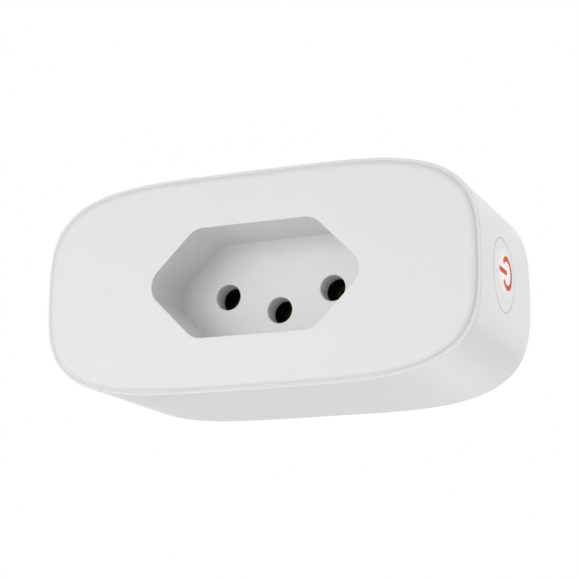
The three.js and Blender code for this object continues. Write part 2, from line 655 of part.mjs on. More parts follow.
// A turned sleeve split into four spring fingers, with two tails through the board.
function socketContact({ name, x, z }) {
  const sleeve = turned(x, z, [
    [0, CONTACT_FRONT_Y],
    [CONTACT_RADIUS, CONTACT_FRONT_Y],
    [CONTACT_RADIUS, CONTACT_REAR_Y - PAST],
    [CONTACT_BASE_RADIUS, CONTACT_REAR_Y - CONTACT_FOOT],
    [CONTACT_BASE_RADIUS, CONTACT_REAR_Y],
    [0, CONTACT_REAR_Y],
  ]);
  const bore = rodY(x, z, CONTACT_FRONT_Y - 1, CONTACT_REAR_Y + 1, CONTACT_BORE);
  const slotEnd = CONTACT_REAR_Y - CONTACT_SLOT_END;
  const half = CONTACT_SLOT / 2;
  const reach = CONTACT_RADIUS + 1;
  const slots = join(
    block(x - reach, x + reach, CONTACT_FRONT_Y - 1, slotEnd, z - half, z + half),
    block(x - half, x + half, CONTACT_FRONT_Y - 1, slotEnd, z - reach, z + reach),
  );
  const tailAt = CONTACT_BASE_RADIUS - CONTACT_TAIL / 2;
  const [tailRoot, tailHalf] = [CONTACT_REAR_Y - PAST / 2, CONTACT_TAIL / 2];
  const tails = [x + tailAt, x - tailAt].map((at) =>
    block(at - CONTACT_TAIL_HALF, at + CONTACT_TAIL_HALF, tailRoot, LEAD_END_Y, z - tailHalf, z + tailHalf),
  );
  return piece(`${name}_contact`, join(cutAway(sleeve, slots, bore), ...tails), brass);
}

function contactHolder() {
  const corners = [
    [HOLDER_HALF_WIDTH, HOLDER_BOTTOM],
    [HOLDER_HALF_WIDTH, HOLDER_TOP],
    [-HOLDER_HALF_WIDTH, HOLDER_TOP],
    [-HOLDER_HALF_WIDTH, HOLDER_BOTTOM],
  ].map(([x, z]) => new THREE.Vector2(x, z));
  let holder = prism(roundedPolygon(corners, HOLDER_CORNER, 2), HOLDER_FRONT_Y, HOLDER_REAR_Y);
  for (const { x, z } of PINS) {
    const entry = rodY(x, z, HOLDER_FRONT_Y - 1, HOLDER_REAR_Y, ENTRY_HOLE_DIAMETER / 2 + FIT);
    const chamber = rodY(x, z, CONTACT_FRONT_Y - LOOSE, HOLDER_REAR_Y + 1, CONTACT_RADIUS + LOOSE);
    holder = cutAway(holder, entry, chamber);
  }
  return piece("contact_holder", holder, blackPlastic);
}

// ---------------------------------------------------------------- Components on the board

// A part whose leads pass through the board, so that the board can drill for them.
const drills = [];
const slots = [];

function lead(x, z, fromY, radius = LEAD_RADIUS) {
  drills.push([x, z, radius + LEAD_GAP]);
  return rodY(x, z, fromY, LEAD_END_Y, radius, 8);
}

const UPPER_BAND_Z = (HOLDER_TOP + LOOSE + INNER_HALF_HEIGHT) / 2 + UPPER_BAND_RAISE;
const LOWER_BAND_Z = (HOLDER_BOTTOM - LOOSE - INNER_HALF_HEIGHT) / 2;
const ROW_HALF = SCREW_X - POST_RADIUS - LEDGE_WIDTH - LOOSE; // half the room between screw posts

// An upright electrolytic capacitor with a rolled groove near its seal.
function capacitor(name, x, z, diameter, height, material) {
  const radius = diameter / 2;
  const [grooveStart, grooveMiddle, grooveEnd] = CAN_GROOVE;
  const body = turned(x, z, [
    [0, SEAT_Y - height],
    [radius - CAN_EDGE, SEAT_Y - height],
    [radius, SEAT_Y - height + CAN_EDGE],
    [radius, SEAT_Y - grooveStart],
    [radius - CAN_GROOVE_DEPTH, SEAT_Y - grooveMiddle],
    [radius, SEAT_Y - grooveEnd],
    [radius, SEAT_Y],
    [0, SEAT_Y],
  ]);
  const pitch = diameter / 4;
  const leads = [lead(x - pitch, z, SEAT_Y - PAST), lead(x + pitch, z, SEAT_Y - PAST)];
  return piece(name, join(body, ...leads), material);
}

// A disc varistor standing on edge.
function varistor(x, z, radius) {
  const half = VARISTOR_THICKNESS / 2;
  const centreY = SEAT_Y - radius - VARISTOR_STANDOFF;
  const disc = rodZ(x, centreY, z - half, z + half, radius, 20);
  const pitch = radius * 0.62;
  const leads = [lead(x - pitch, z, centreY), lead(x + pitch, z, centreY)];
  return piece("varistor", join(disc, ...leads), bluePlastic);
}

// A fusible resistor lying along X, its leads bent down at both ends.
function fusibleResistor(x, z) {
  const [radius, half] = [RESISTOR_RADIUS, RESISTOR_HALF_LENGTH];
  const axisY = SEAT_Y - radius;
  const body = join(
    rodX(axisY, z, x - half, x + half, radius * 0.85, 14),
    rodX(axisY, z, x - half, x - half + RESISTOR_CAP_LENGTH, radius, 14),
    rodX(axisY, z, x + half - RESISTOR_CAP_LENGTH, x + half, radius, 14),
  );
  const span = half + RESISTOR_LEAD_BEND;
  const wire = rodX(axisY, z, x - span, x + span, LEAD_RADIUS, 8);
  const leads = [x - span, x + span].map((at) => lead(at, z, axisY - LEAD_RADIUS));
  return piece("fusible_resistor", join(body, wire, ...leads), ivoryPlastic);
}

function suppressorCapacitor(x, z, height) {
  const [halfLength, halfWidth] = [SUPPRESSOR_HALF_LENGTH, SUPPRESSOR_HALF_WIDTH];
  const body = block(x - halfLength, x + halfLength, SEAT_Y - height, SEAT_Y, z - halfWidth, z + halfWidth);
  const leadPlaces = [x - SUPPRESSOR_HALF_PITCH, x + SUPPRESSOR_HALF_PITCH];
  const leads = leadPlaces.map((at) => lead(at, z, SEAT_Y - PAST));
  return piece("suppressor_capacitor", join(body, ...leads), litAmber.clone());
}

// A drum-core choke: the core, and the wire wound on it.
function choke(x, z, height) {
  const [rim, waist, flange] = [CHOKE_RIM_RADIUS, CHOKE_WAIST_RADIUS, height * CHOKE_FLANGE_SHARE];
  const [top, bottom] = [SEAT_Y - height, SEAT_Y];
  const core = turned(x, z, [
    [0, top],
    [rim, top],
    [rim, top + flange],
    [waist, top + flange],
    [waist, bottom - flange],
    [rim, bottom - flange],
    [rim, bottom],
    [0, bottom],
  ], 18);
  const [inner, outer] = [waist + FIT, rim - CHOKE_WINDING_INSET];
  const winding = rodY(x, z, top + flange + FIT, bottom - flange - FIT, outer, 18);
  const wound = winding.subtract(rodY(x, z, top, bottom, inner, 18));
  return [piece("choke_core", core, ferrite), piece("choke_winding", wound, copper)];
}

// A surface-mounted package with gull-wing legs on two sides, flat on the board's front.
function chip(name, x, z, length, width, height, legs) {
  const rest = BOARD_FRONT_Y - FIT;
  const underside = rest - LEG_THICKNESS;
  const [halfLength, halfWidth] = [length / 2, width / 2];
  const top = underside - height;
  let body = block(x - halfLength, x + halfLength, top, underside, z - halfWidth, z + halfWidth);
  const pitch = length / legs;
  const legWidth = Math.min(pitch * LEG_WIDTH_SHARE, LEG_WIDTH_LIMIT);
  for (let i = 0; i < legs; i++) {
    const at = x - halfLength + pitch * (i + 0.5);
    const foot = halfWidth + LEG_REACH;
    const bar = block(at - legWidth / 2, at + legWidth / 2, underside - FIT / 2, rest, z - foot, z + foot);
    body = body.add(bar);
  }
  return piece(name, body, blackPlastic);
}

// ---------------------------------------------------------------- Relay

// Heights above the board, measured forwards from its front face.
const RELAY_HEIGHT = ROOM_BEHIND_SKIRT * RELAY_FULLNESS;
const BOBBIN_LOW = RELAY_BASE_TOP + YOKE_THICKNESS + LOOSE;
const ARMATURE_LOW = RELAY_HEIGHT - RELAY_SKIN - ARMATURE_THICKNESS - ARMATURE_HEADROOM;
const POLE_TOP = ARMATURE_LOW - ARMATURE_GAP;
const BOBBIN_TOP = POLE_TOP - BOBBIN_WALL;
const HINGE_HEIGHT = ARMATURE_LOW - HINGE_DROP;

const RELAY_X = -(innerWallX(RELAY_LENGTH / 2) - RELAY_WALL_GAP - RELAY_WIDTH / 2);
const YOKE_BACK_Z = -RELAY_LENGTH / 2 + RELAY_SKIN + YOKE_MARGIN;
const CONTACT_Z = RELAY_LENGTH / 2 - RELAY_SKIN - CONTACT_MARGIN;
const HINGE_Z = YOKE_BACK_Z + YOKE_THICKNESS / 2;

// In the relay's own frame, height runs along -Y.
function level(low, high, x0, x1, z0, z1) {
  return block(x0, x1, -high, -low, z0, z1);
}

const column = (x, z, low, high, radius, sides = 16) => rodY(x, z, -high, -low, radius, sides);

// A relay terminal: the board drills for it at its place in the whole part.
function terminalPin(x, z, topHeight, width = TERMINAL_WIDTH, thickness = TERMINAL_THICKNESS) {
  slots.push([RELAY_X + x, z, width / 2 + LEAD_GAP, thickness / 2 + LEAD_GAP]);
  const end = LEAD_END_Y - BOARD_FRONT_Y;
  return block(x - width / 2, x + width / 2, -topHeight, end, z - thickness / 2, z + thickness / 2);
}

function relay() {
  const group = new THREE.Group();
  group.position.set(RELAY_X, BOARD_FRONT_Y, 0);
  const halfLength = RELAY_LENGTH / 2;
  const halfWidth = RELAY_WIDTH / 2;
  const inside = halfWidth - RELAY_SKIN - FIT;
  const insideEnd = halfLength - RELAY_SKIN - FIT;
  const coilPinX = inside - 1.2;
  const coilPinZ = COIL_Z + BOBBIN_HALF + 1.3;
  const commonZ = YOKE_BACK_Z + YOKE_THICKNESS / 2;
  const fixedZ = insideEnd - 0.7;

  const common = terminalPin(0, commonZ, RELAY_BASE_TOP - FIT);
  const coilPins = [coilPinX, -coilPinX].map((x) =>
    terminalPin(x, coilPinZ, RELAY_BASE_TOP + 3, COIL_PIN_WIDTH, COIL_PIN_WIDTH),
  );
  const swing = THREE.MathUtils.degToRad(ARMATURE_SWING);
  const contactDrop = (CONTACT_Z + CONTACT_BUTTON_RADIUS - HINGE_Z) * Math.sin(swing);
  const contactTravel = contactDrop + FIT;
  const bladeLow = ARMATURE_LOW + ARMATURE_THICKNESS + FIT;
  const fixedLow = bladeLow - FIT - CONTACT_BUTTON_HEIGHT * 2 - contactTravel;
  const bracket = TERMINAL_THICKNESS;
  const bracketStartZ = CONTACT_Z - CONTACT_BUTTON_RADIUS - 0.2;
  const fixedTerminal = join(
    terminalPin(0, fixedZ, fixedLow, BRACKET_WIDTH, bracket),
    level(fixedLow - bracket, fixedLow, -BRACKET_WIDTH, BRACKET_WIDTH, bracketStartZ, fixedZ + bracket / 2),
  );

  const terminalSlot = (x, z, width, thickness) => {
    const [halfX, halfZ] = [width / 2 + LEAD_GAP, thickness / 2 + LEAD_GAP];
    return level(0, RELAY_BASE_TOP + PAST, x - halfX, x + halfX, z - halfZ, z + halfZ);
  };
  const base = cutAway(
    level(LOOSE, RELAY_BASE_TOP, -inside, inside, -insideEnd, insideEnd),
    terminalSlot(0, commonZ, TERMINAL_WIDTH, TERMINAL_THICKNESS),
    terminalSlot(0, fixedZ, BRACKET_WIDTH, TERMINAL_THICKNESS),
    terminalSlot(coilPinX, coilPinZ, COIL_PIN_WIDTH, COIL_PIN_WIDTH),
    terminalSlot(-coilPinX, coilPinZ, COIL_PIN_WIDTH, COIL_PIN_WIDTH),
  );

  const cover = level(LOOSE * 2, RELAY_HEIGHT, -halfWidth, halfWidth, -halfLength, halfLength).subtract(
    level(0, RELAY_HEIGHT - RELAY_SKIN, -inside - FIT, inside + FIT, -insideEnd - FIT, insideEnd + FIT),
  );

  const bobbinFlange = (low) => {
    const [z0, z1] = [COIL_Z - BOBBIN_HALF, COIL_Z + BOBBIN_HALF];
    return level(low, low + BOBBIN_FLANGE, -BOBBIN_HALF, BOBBIN_HALF, z0, z1);
  };
  const barrelRadius = CORE_RADIUS + BOBBIN_WALL;
  const spool = join(
    bobbinFlange(BOBBIN_LOW),
    bobbinFlange(BOBBIN_TOP - BOBBIN_FLANGE),
    column(0, COIL_Z, BOBBIN_LOW, BOBBIN_TOP, barrelRadius),
  );
  const bobbin = spool.subtract(column(0, COIL_Z, BOBBIN_LOW - 1, BOBBIN_TOP + 1, CORE_RADIUS + FIT));
  const [coilLow, coilHigh] = [BOBBIN_LOW + BOBBIN_FLANGE + FIT, BOBBIN_TOP - BOBBIN_FLANGE - FIT];
  const coil = column(0, COIL_Z, coilLow, coilHigh, BOBBIN_HALF - LOOSE, 24).subtract(
    column(0, COIL_Z, coilLow - PAST, coilHigh + PAST, barrelRadius + FIT),
  );

  const yokeLow = RELAY_BASE_TOP + FIT;
  const yokeEndZ = COIL_Z + CORE_RADIUS + 1;
  const yokeHalf = YOKE_HALF_WIDTH;
  const yoke = join(
    level(yokeLow, yokeLow + YOKE_THICKNESS, -yokeHalf, yokeHalf, YOKE_BACK_Z, yokeEndZ),
    level(yokeLow, HINGE_HEIGHT, -yokeHalf, yokeHalf, YOKE_BACK_Z, YOKE_BACK_Z + YOKE_THICKNESS),
  ).subtract(column(0, COIL_Z, 0, yokeLow + YOKE_THICKNESS + 1, CORE_RADIUS * 0.7 + FIT));
  const core = join(
    column(0, COIL_Z, yokeLow + FIT, BOBBIN_LOW, CORE_RADIUS * 0.7),
    column(0, COIL_Z, yokeLow + YOKE_THICKNESS + FIT, POLE_TOP, CORE_RADIUS),
    column(0, COIL_Z, BOBBIN_TOP + FIT, POLE_TOP, POLE_RADIUS),
  );

  const armatureTop = ARMATURE_LOW + ARMATURE_THICKNESS;
  const armatureEnd = COIL_Z + POLE_RADIUS + 0.6;
  const [plateHalf, bladeHalf] = [ARMATURE_HALF_WIDTH, BLADE_HALF_WIDTH];
  const armature = level(ARMATURE_LOW, armatureTop, -plateHalf, plateHalf, YOKE_BACK_Z + FIT, armatureEnd);
  const bladeTop = bladeLow + BLADE_THICKNESS;
  const blade = level(bladeLow, bladeTop, -bladeHalf, bladeHalf, HINGE_Z + 1, CONTACT_Z + 1.6);
  const movingTop = bladeLow - FIT / 2;
  const moving = column(0, CONTACT_Z, movingTop - CONTACT_BUTTON_HEIGHT, movingTop, CONTACT_BUTTON_RADIUS);
  const fixedRest = fixedLow + FIT / 2;
  const fixed = column(0, CONTACT_Z, fixedRest, fixedRest + CONTACT_BUTTON_HEIGHT, CONTACT_BUTTON_RADIUS);

  group.add(
    piece("relay_base", base, blackPlastic),
    piece("relay_cover", cover, blackPlastic),
    piece("relay_bobbin", bobbin, ivoryPlastic),
    piece("relay_coil", coil, copper),
    piece("relay_core", core, steel),
    piece("relay_yoke", yoke, steel),
    piece("relay_armature", armature, steel),
    piece("relay_moving_blade", blade, brass),
    piece("relay_moving_contact", moving, nickel),
    piece("relay_fixed_contact", fixed, nickel),
    piece("relay_fixed_terminal", fixedTerminal, brass),
    piece("relay_common_pin", common, brass),
    piece("relay_coil_pin_1", coilPins[0], brass),
    piece("relay_coil_pin_2", coilPins[1], brass),
  );
  return group;
}

// ---------------------------------------------------------------- Power button and its board

const FLANGE_OUTER_X = innerWallX(FLANGE_RADIUS) - LOOSE;
const FLANGE_INNER_X = FLANGE_OUTER_X - CAP_FLANGE_THICKNESS;
const GUIDE_RADIUS = BUTTON_RADIUS - CAP_WALL - FIT;
const GUIDE_OUTER_X = HALF_WIDTH - BUTTON_TOP - FIT;
const GUIDE_INNER_X = GUIDE_OUTER_X - GUIDE_THICKNESS;
const STEM_OUTER_X = GUIDE_INNER_X - LOOSE;
const SWITCH_OUTER_X = STEM_OUTER_X - STEM_PROUD;
const SIDE_BOARD_OUTER_X = SWITCH_OUTER_X - SWITCH_HEIGHT - FIT;
const SIDE_BOARD_INNER_X = SIDE_BOARD_OUTER_X - SIDE_BOARD_THICKNESS;
const SYMBOL_Y = BUTTON_Y + SYMBOL_SHIFT;

// The power sign as two prisms along X: an open ring, and a bar that points at the ring's gap.
function powerSign(x0, x1, grow) {
  const half = SYMBOL_STROKE / 2 + grow;
  const gap = THREE.MathUtils.degToRad(SYMBOL_GAP_ANGLE) - grow / SYMBOL_RADIUS;
  const ring = new THREE.Shape();
  ring.absarc(0, 0, SYMBOL_RADIUS + half, gap, 2 * Math.PI - gap, false);
  ring.absarc(0, 0, SYMBOL_RADIUS - half, 2 * Math.PI - gap, gap, true);
  const [start, end] = [SYMBOL_BAR_START - grow, SYMBOL_BAR_START + SYMBOL_BAR_LENGTH + grow];
  const bar = new THREE.Shape();
  bar.moveTo(start, -half);
  bar.lineTo(end, -half);
  bar.lineTo(end, half);
  bar.lineTo(start, half);
  bar.closePath();
  return [ring, bar].map((shape) => {
    const geometry = new THREE.ExtrudeGeometry(shape, {
      depth: x1 - x0,
      bevelEnabled: false,
      curveSegments: 20,
    });
    geometry.rotateY(-Math.PI / 2).rotateX(Math.PI / 2); // the drawing's right becomes -Y
    return solid(geometry.translate(x1, SYMBOL_Y, SYMBOL_RAISE));
  });
}

function buttonCap() {
  const outside = HALF_WIDTH + PAST;
  const crownInner = HALF_WIDTH - BUTTON_TOP;
  const plug = rodX(BUTTON_Y, 0, FLANGE_INNER_X, outside, BUTTON_RADIUS, 40).intersect(housingForm());
  const flange = rodX(BUTTON_Y, 0, FLANGE_INNER_X, FLANGE_OUTER_X, FLANGE_RADIUS, 32);
  const hollow = rodX(BUTTON_Y, 0, FLANGE_INNER_X - PAST, crownInner, BUTTON_RADIUS - CAP_WALL, 32);
  const sign = powerSign(crownInner - PAST, outside, SYMBOL_CLEARANCE);
  return piece("button_cap", cutAway(join(plug, flange), hollow, ...sign), whiteShell);
}

function lightGuide() {
  const disc = rodX(BUTTON_Y, 0, GUIDE_INNER_X, GUIDE_OUTER_X, GUIDE_RADIUS, 32);
  const sign = powerSign(GUIDE_OUTER_X - LOOSE, HALF_WIDTH + PAST, 0);
  return piece("light_guide", join(disc, ...sign.map((part) => part.intersect(housingForm()))), litAmber);
}

function switchPieces() {
  const half = SWITCH_HALF;
  const bodyInner = SIDE_BOARD_OUTER_X + FIT;
  const box = block(bodyInner, SWITCH_OUTER_X, BUTTON_Y - half, BUTTON_Y + half, -half, half);
  const boreBottom = SWITCH_OUTER_X - STEM_DEPTH - BUTTON_TRAVEL - LOOSE;
  const bore = rodX(BUTTON_Y, 0, boreBottom, SWITCH_OUTER_X + PAST, STEM_RADIUS + FIT);
  const stem = rodX(BUTTON_Y, 0, SWITCH_OUTER_X - STEM_DEPTH, STEM_OUTER_X, STEM_RADIUS);
  return [piece("switch_body", box.subtract(bore), blackPlastic), piece("switch_stem", stem, ivoryPlastic)];
}

function indicatorLed() {
  const inner = SIDE_BOARD_OUTER_X + FIT;
  const [front, rear] = [BUTTON_Y - LED_HALF_DEPTH, BUTTON_Y + LED_HALF_DEPTH];
  const [low, high] = [LED_RAISE - LED_HALF_HEIGHT, LED_RAISE + LED_HALF_HEIGHT];
  return piece("indicator_led", block(inner, inner + LED_THICKNESS, front, rear, low, high), whiteDiffuser);
}

// A small board that stands on the main board by a tab through a slot in it.
function standingBoard(name, x0, x1, frontY, half, tabHalf, tabZ = 0) {
  slots.push([(x0 + x1) / 2, tabZ, (x1 - x0) / 2 + LEAD_GAP, tabHalf + LEAD_GAP]);
  const sheet = join(
    block(x0, x1, frontY, SEAT_Y, tabZ - half, tabZ + half),
    block(x0, x1, SEAT_Y - PAST, LEAD_END_Y, tabZ - tabHalf, tabZ + tabHalf),
  );
  return piece(name, sheet, solderMask);
}

// ---------------------------------------------------------------- Radio module

const RADIO_HEIGHT = ROOM_BEHIND_SKIRT * 0.775;
const RADIO_OUTER_X = SIDE_BOARD_INNER_X - RADIO_CAN_HEIGHT - 1.2;
const RADIO_INNER_X = RADIO_OUTER_X - SIDE_BOARD_THICKNESS;

const DRIVER_X = (LIVE_LEG_X + RADIO_INNER_X) / 2;

function radioModule() {
  const frontY = SEAT_Y - RADIO_HEIGHT;
  const boardSizes = [frontY, RADIO_HALF, RADIO_TAB_HALF];
  const board = standingBoard("radio_board", RADIO_INNER_X, RADIO_OUTER_X, ...boardSizes);
  const [low, high] = [RADIO_OUTER_X + FIT, RADIO_OUTER_X + FIT + RADIO_CAN_HEIGHT];
  const [front, rear] = [frontY + RADIO_CAN_FRONT_MARGIN, SEAT_Y - RADIO_CAN_REAR_MARGIN];
  const [left, right] = [RADIO_CAN_LEFT_MARGIN - RADIO_HALF, RADIO_HALF - RADIO_ANTENNA_LENGTH];
  const skin = RADIO_CAN_SKIN;
  const can = block(low, high, front, rear, left, right).subtract(
    block(low - PAST, high - skin, front + skin, rear - skin, left + skin, right - skin),
  );
  const half = RADIO_CHIP_HALF;
  const [y, z] = [(front + rear) / 2, (left + right) / 2];
  const chipBody = block(low, low + RADIO_CHIP_HEIGHT, y - half, y + half, z - half, z + half);
  return [board, piece("radio_shield", can, aluminiumCan), piece("radio_chip", chipBody, blackPlastic)];
}

// ---------------------------------------------------------------- Main board, drilled last

function mainBoard() {
  let board = prism(outline(SIDE_WALL + BOARD_EDGE_GAP), BOARD_FRONT_Y, BOARD_REAR_Y);
  const [front, rear] = [BOARD_FRONT_Y - 1, BOARD_REAR_Y + 1];
  const postRoom = POST_RADIUS + LOOSE;
  for (const [x, z] of SCREW_PLACES) board = board.subtract(rodY(x, z, front, rear, postRoom, 20));
  for (const { x, z } of PINS) {
    board = board.subtract(rodY(x, z, front, rear, PIN_DIAMETER / 2 + LOOSE, 20));
    for (const side of [1, -1]) {
      const at = x + side * (CONTACT_BASE_RADIUS - CONTACT_TAIL / 2);
      const [halfX, halfZ] = [CONTACT_TAIL / 2, CONTACT_TAIL / 2 + LEAD_GAP];
      board = board.subtract(block(at - halfX, at + halfX, front, rear, z - halfZ, z + halfZ));
    }
  }
  const strapHalf = TAB_WIDTH / 2 + LEAD_GAP;
  for (const side of [1, -1]) {
    const at = side * (LIVE_LEG_X - STRAP_THICKNESS / 2);
    const reach = STRAP_THICKNESS / 2 + LEAD_GAP;
    board = board.subtract(block(at - reach, at + reach, front, rear, -strapHalf, strapHalf));
  }
  const earthLow = EARTH_LEG_Z - STRAP_THICKNESS - LEAD_GAP;
  board = board.subtract(block(-strapHalf, strapHalf, front, rear, earthLow, EARTH_LEG_Z + LEAD_GAP));
  for (const [x, z, radius] of drills) board = board.subtract(rodY(x, z, front, rear, radius, 8));
  for (const [x, z, halfX, halfZ] of slots) {
    board = board.subtract(block(x - halfX, x + halfX, front, rear, z - halfZ, z + halfZ));
  }
  return piece("main_board", board, solderMask);
}

// ---------------------------------------------------------------- Assembly

const [linePin, neutralPin, earthPin] = PINS;

const shell = new THREE.Group();
shell.add(rearHousing(), frontCover(), ...housingScrews());

const plugEnd = new THREE.Group();
plugEnd.add(...PINS.map(plugPin), pinRetainer(), ...RETAINER_SCREW_PLACES.map(retainerScrew));
plugEnd.add(liveStrap(linePin), liveStrap(neutralPin), earthStrap(earthPin));

const socketEnd = new THREE.Group();
socketEnd.add(contactHolder(), ...PINS.map(socketContact));

const button = new THREE.Group();
button.add(buttonCap(), lightGuide(), ...switchPieces(), indicatorLed());
const sideBoardSizes = [BUTTON_Y - SIDE_BOARD_AHEAD, SIDE_BOARD_HALF, SIDE_BOARD_TAB];
button.add(standingBoard("button_board", SIDE_BOARD_INNER_X, SIDE_BOARD_OUTER_X, ...sideBoardSizes));

// Name, place as a share of the row, diameter, height as a share of the room, material.
const capacitors = [
  ["mains_capacitor", -0.74, MAINS_CAPACITOR_DIAMETER, 0.9, aluminiumCan],
  ["output_capacitor", -0.34, OUTPUT_CAPACITOR_DIAMETER, 0.85, blackPlastic],
];

// Name, place in the row, band, length, width, height, legs on each side.
const chips = [
  ["bridge_rectifier", ROW_HALF * 0.42, UPPER_BAND_Z, 4.7, 3.8, 2.3, 2],
  ["converter_chip", ROW_HALF * 0.75, UPPER_BAND_Z, 4.9, 3.8, 1.5, 4],
  ["voltage_regulator", ROW_HALF * 0.83, LOWER_BAND_Z, 6.2, 3.4, 1.6, 3],
  ["relay_driver", DRIVER_X, 4.0, 2.9, 1.4, 1.0, 2],
  ["flyback_diode", DRIVER_X, -3.6, 4.4, 2.6, 2.0, 1],
];

const electronics = new THREE.Group();
electronics.add(
  relay(),
  ...radioModule(),
  ...capacitors.map(([name, share, diameter, fullness, material]) =>
    capacitor(name, ROW_HALF * share, UPPER_BAND_Z, diameter, ROOM_BEHIND_WELL * fullness, material),
  ),
  ...choke(ROW_HALF * 0.06, UPPER_BAND_Z, ROOM_BEHIND_WELL * 0.75),
  varistor(ROW_HALF * -0.7, LOWER_BAND_Z, ROOM_BEHIND_WELL * 0.37),
  fusibleResistor(ROW_HALF * -0.14, LOWER_BAND_Z),
  suppressorCapacitor(ROW_HALF * 0.4, LOWER_BAND_Z, ROOM_BEHIND_WELL * 0.78),
  ...chips.map((sizes) => chip(...sizes)),
);
electronics.add(mainBoard());

const smartPlug = new THREE.Group();
smartPlug.add(shell, plugEnd, socketEnd, button, electronics);

export default smartPlug;
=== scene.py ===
# %% [markdown]
# # A smart plug for a three-pin outlet
#
# The real object is a small block of white plastic that plugs into a wall outlet and takes another plug in
# front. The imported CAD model, called the frame, says where each part is and how it moves. This notebook
# gives them their looks. The shell, the button, the pins, the screws and the windings are rebuilt with round
# edges and fine detail in the same places. The hidden electronics keep their CAD shapes and get finishes.

# %% Load the frame
import json
import math

import bmesh
import bpy
from mathutils import Matrix, Vector


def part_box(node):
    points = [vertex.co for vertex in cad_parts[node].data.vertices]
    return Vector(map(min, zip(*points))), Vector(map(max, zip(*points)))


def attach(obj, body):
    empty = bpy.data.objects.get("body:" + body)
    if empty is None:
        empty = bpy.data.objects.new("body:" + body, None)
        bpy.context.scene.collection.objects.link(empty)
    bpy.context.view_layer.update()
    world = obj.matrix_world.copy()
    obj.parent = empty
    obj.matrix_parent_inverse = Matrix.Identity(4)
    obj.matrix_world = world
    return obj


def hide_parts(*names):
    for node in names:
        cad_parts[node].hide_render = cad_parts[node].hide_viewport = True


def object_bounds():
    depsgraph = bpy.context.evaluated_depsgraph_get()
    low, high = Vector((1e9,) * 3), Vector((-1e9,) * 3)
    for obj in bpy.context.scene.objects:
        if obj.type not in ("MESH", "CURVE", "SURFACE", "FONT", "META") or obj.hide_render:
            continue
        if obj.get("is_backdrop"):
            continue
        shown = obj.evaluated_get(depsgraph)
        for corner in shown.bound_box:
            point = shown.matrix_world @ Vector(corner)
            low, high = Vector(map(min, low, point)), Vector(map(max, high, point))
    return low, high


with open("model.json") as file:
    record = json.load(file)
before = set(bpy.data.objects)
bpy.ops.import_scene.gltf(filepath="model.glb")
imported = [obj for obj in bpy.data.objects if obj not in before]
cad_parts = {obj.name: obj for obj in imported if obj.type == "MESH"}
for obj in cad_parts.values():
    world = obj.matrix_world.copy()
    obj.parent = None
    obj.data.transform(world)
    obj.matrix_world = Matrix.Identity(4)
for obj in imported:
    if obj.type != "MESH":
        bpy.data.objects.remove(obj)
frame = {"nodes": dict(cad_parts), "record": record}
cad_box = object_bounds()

MM = 0.001  # Blender works in metres here, and this plug is drawn in millimetres

# %% [markdown]
# ## Sizes
#
# A size that the frame can give is read from it, so the two can't drift apart. The rest are the sizes of
# features inside a node, such as a wall's thickness, which no bounding box shows.

# %% Read the sizes that the frame knows
def corners(node):
    """A CAD node's lowest and highest corner, in millimetres."""
    low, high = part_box(node)
    return low / MM, high / MM


housing_low, housing_high = corners("rear_housing")
line_low, line_high = corners("line_pin")
earth_low, earth_high = corners("earth_pin")
cap_low, cap_high = corners("button_cap")

HALF_WIDTH = housing_high.x
HALF_HEIGHT = housing_high.z
FRONT_Y = corners("front_cover")[0].y  # the cover's face
LIP_Y = housing_low.y  # the housing's lip, a little behind it
PIN_X = (line_low.x + line_high.x) / 2
EARTH_Z = (earth_low.z + earth_high.z) / 2
PIN_END_Y = line_high.y
BUTTON_Y = (cap_low.y + cap_high.y) / 2
PINS = {"line_pin": (PIN_X, 0), "neutral_pin": (-PIN_X, 0), "earth_pin": (0, EARTH_Z)}
print("body", [round(2 * half, 1) for half in (HALF_WIDTH, HALF_HEIGHT)], "mm, pins at x", round(PIN_X, 2))

# %% State the sizes inside the nodes
POWER_ACROSS, POWER_UP = 4.4, 3.3  # how square the outline is, sideways and upwards
WALL = 2.0
REAR_WALL = 2.2
REAR_Y = -11.0  # the back wall's outer face
REAR_ROUND = 2.0
LIP = 0.45
SEAM = 0.25
COVER_THICKNESS = 2.2
RIM_WIDTH, RIM_DEPTH = 0.8, 0.45  # the cover's rounded edge
SKIRT_THICKNESS = 1.2
SKIRT_REAR_Y = -36.5
HEX_TIP, HEX_TOP, HEX_CORNER = 19.75, 9.25, 3.5
WELL_DEPTH, WELL_FLOOR, WELL_WALL = 11.3, 3.2, 1.5
BOSS_INSET, BOSS_WALL = 0.5, 2.0
ENTRY_RADIUS, ENTRY_CHAMFER = 2.2, 0.2
SCREW_X, SCREW_Z = 24.0, 12.4
SCREW_SEAT_Y = -15.85
BOSS_RADIUS, PILOT_RADIUS, PILOT_DEPTH = 2.6, 1.35, 7.9  # under the cover, and the screw's hole in it
POST_RADIUS, SEAT_RADIUS, SEAT_TOP_Y = 3.0, 4.2, -14.5  # inside the housing, round each screw
RETAINER_POST, RETAINER_BORE = (1.85, -4.1, -1), (0.9, -5.1, -1.4)  # radius, near and far end
BUTTON_RADIUS, BUTTON_COLLAR_RADIUS, BUTTON_HOLE_RADIUS = 5.95, 6.07, 6.1
COVER_BACK_Y = FRONT_Y + COVER_THICKNESS
WELL_FLOOR_Y = FRONT_Y + WELL_DEPTH
WELL_BACK_Y = WELL_FLOOR_Y + WELL_FLOOR
REAR_INNER_Y = REAR_Y - REAR_WALL
BOARD_FRONT_Y = corners("main_board")[0].y
POST_TOP_Y = BOARD_FRONT_Y - 1.8
print("well floor at y", round(WELL_FLOOR_Y, 2), "and board front at y", round(BOARD_FRONT_Y, 2))
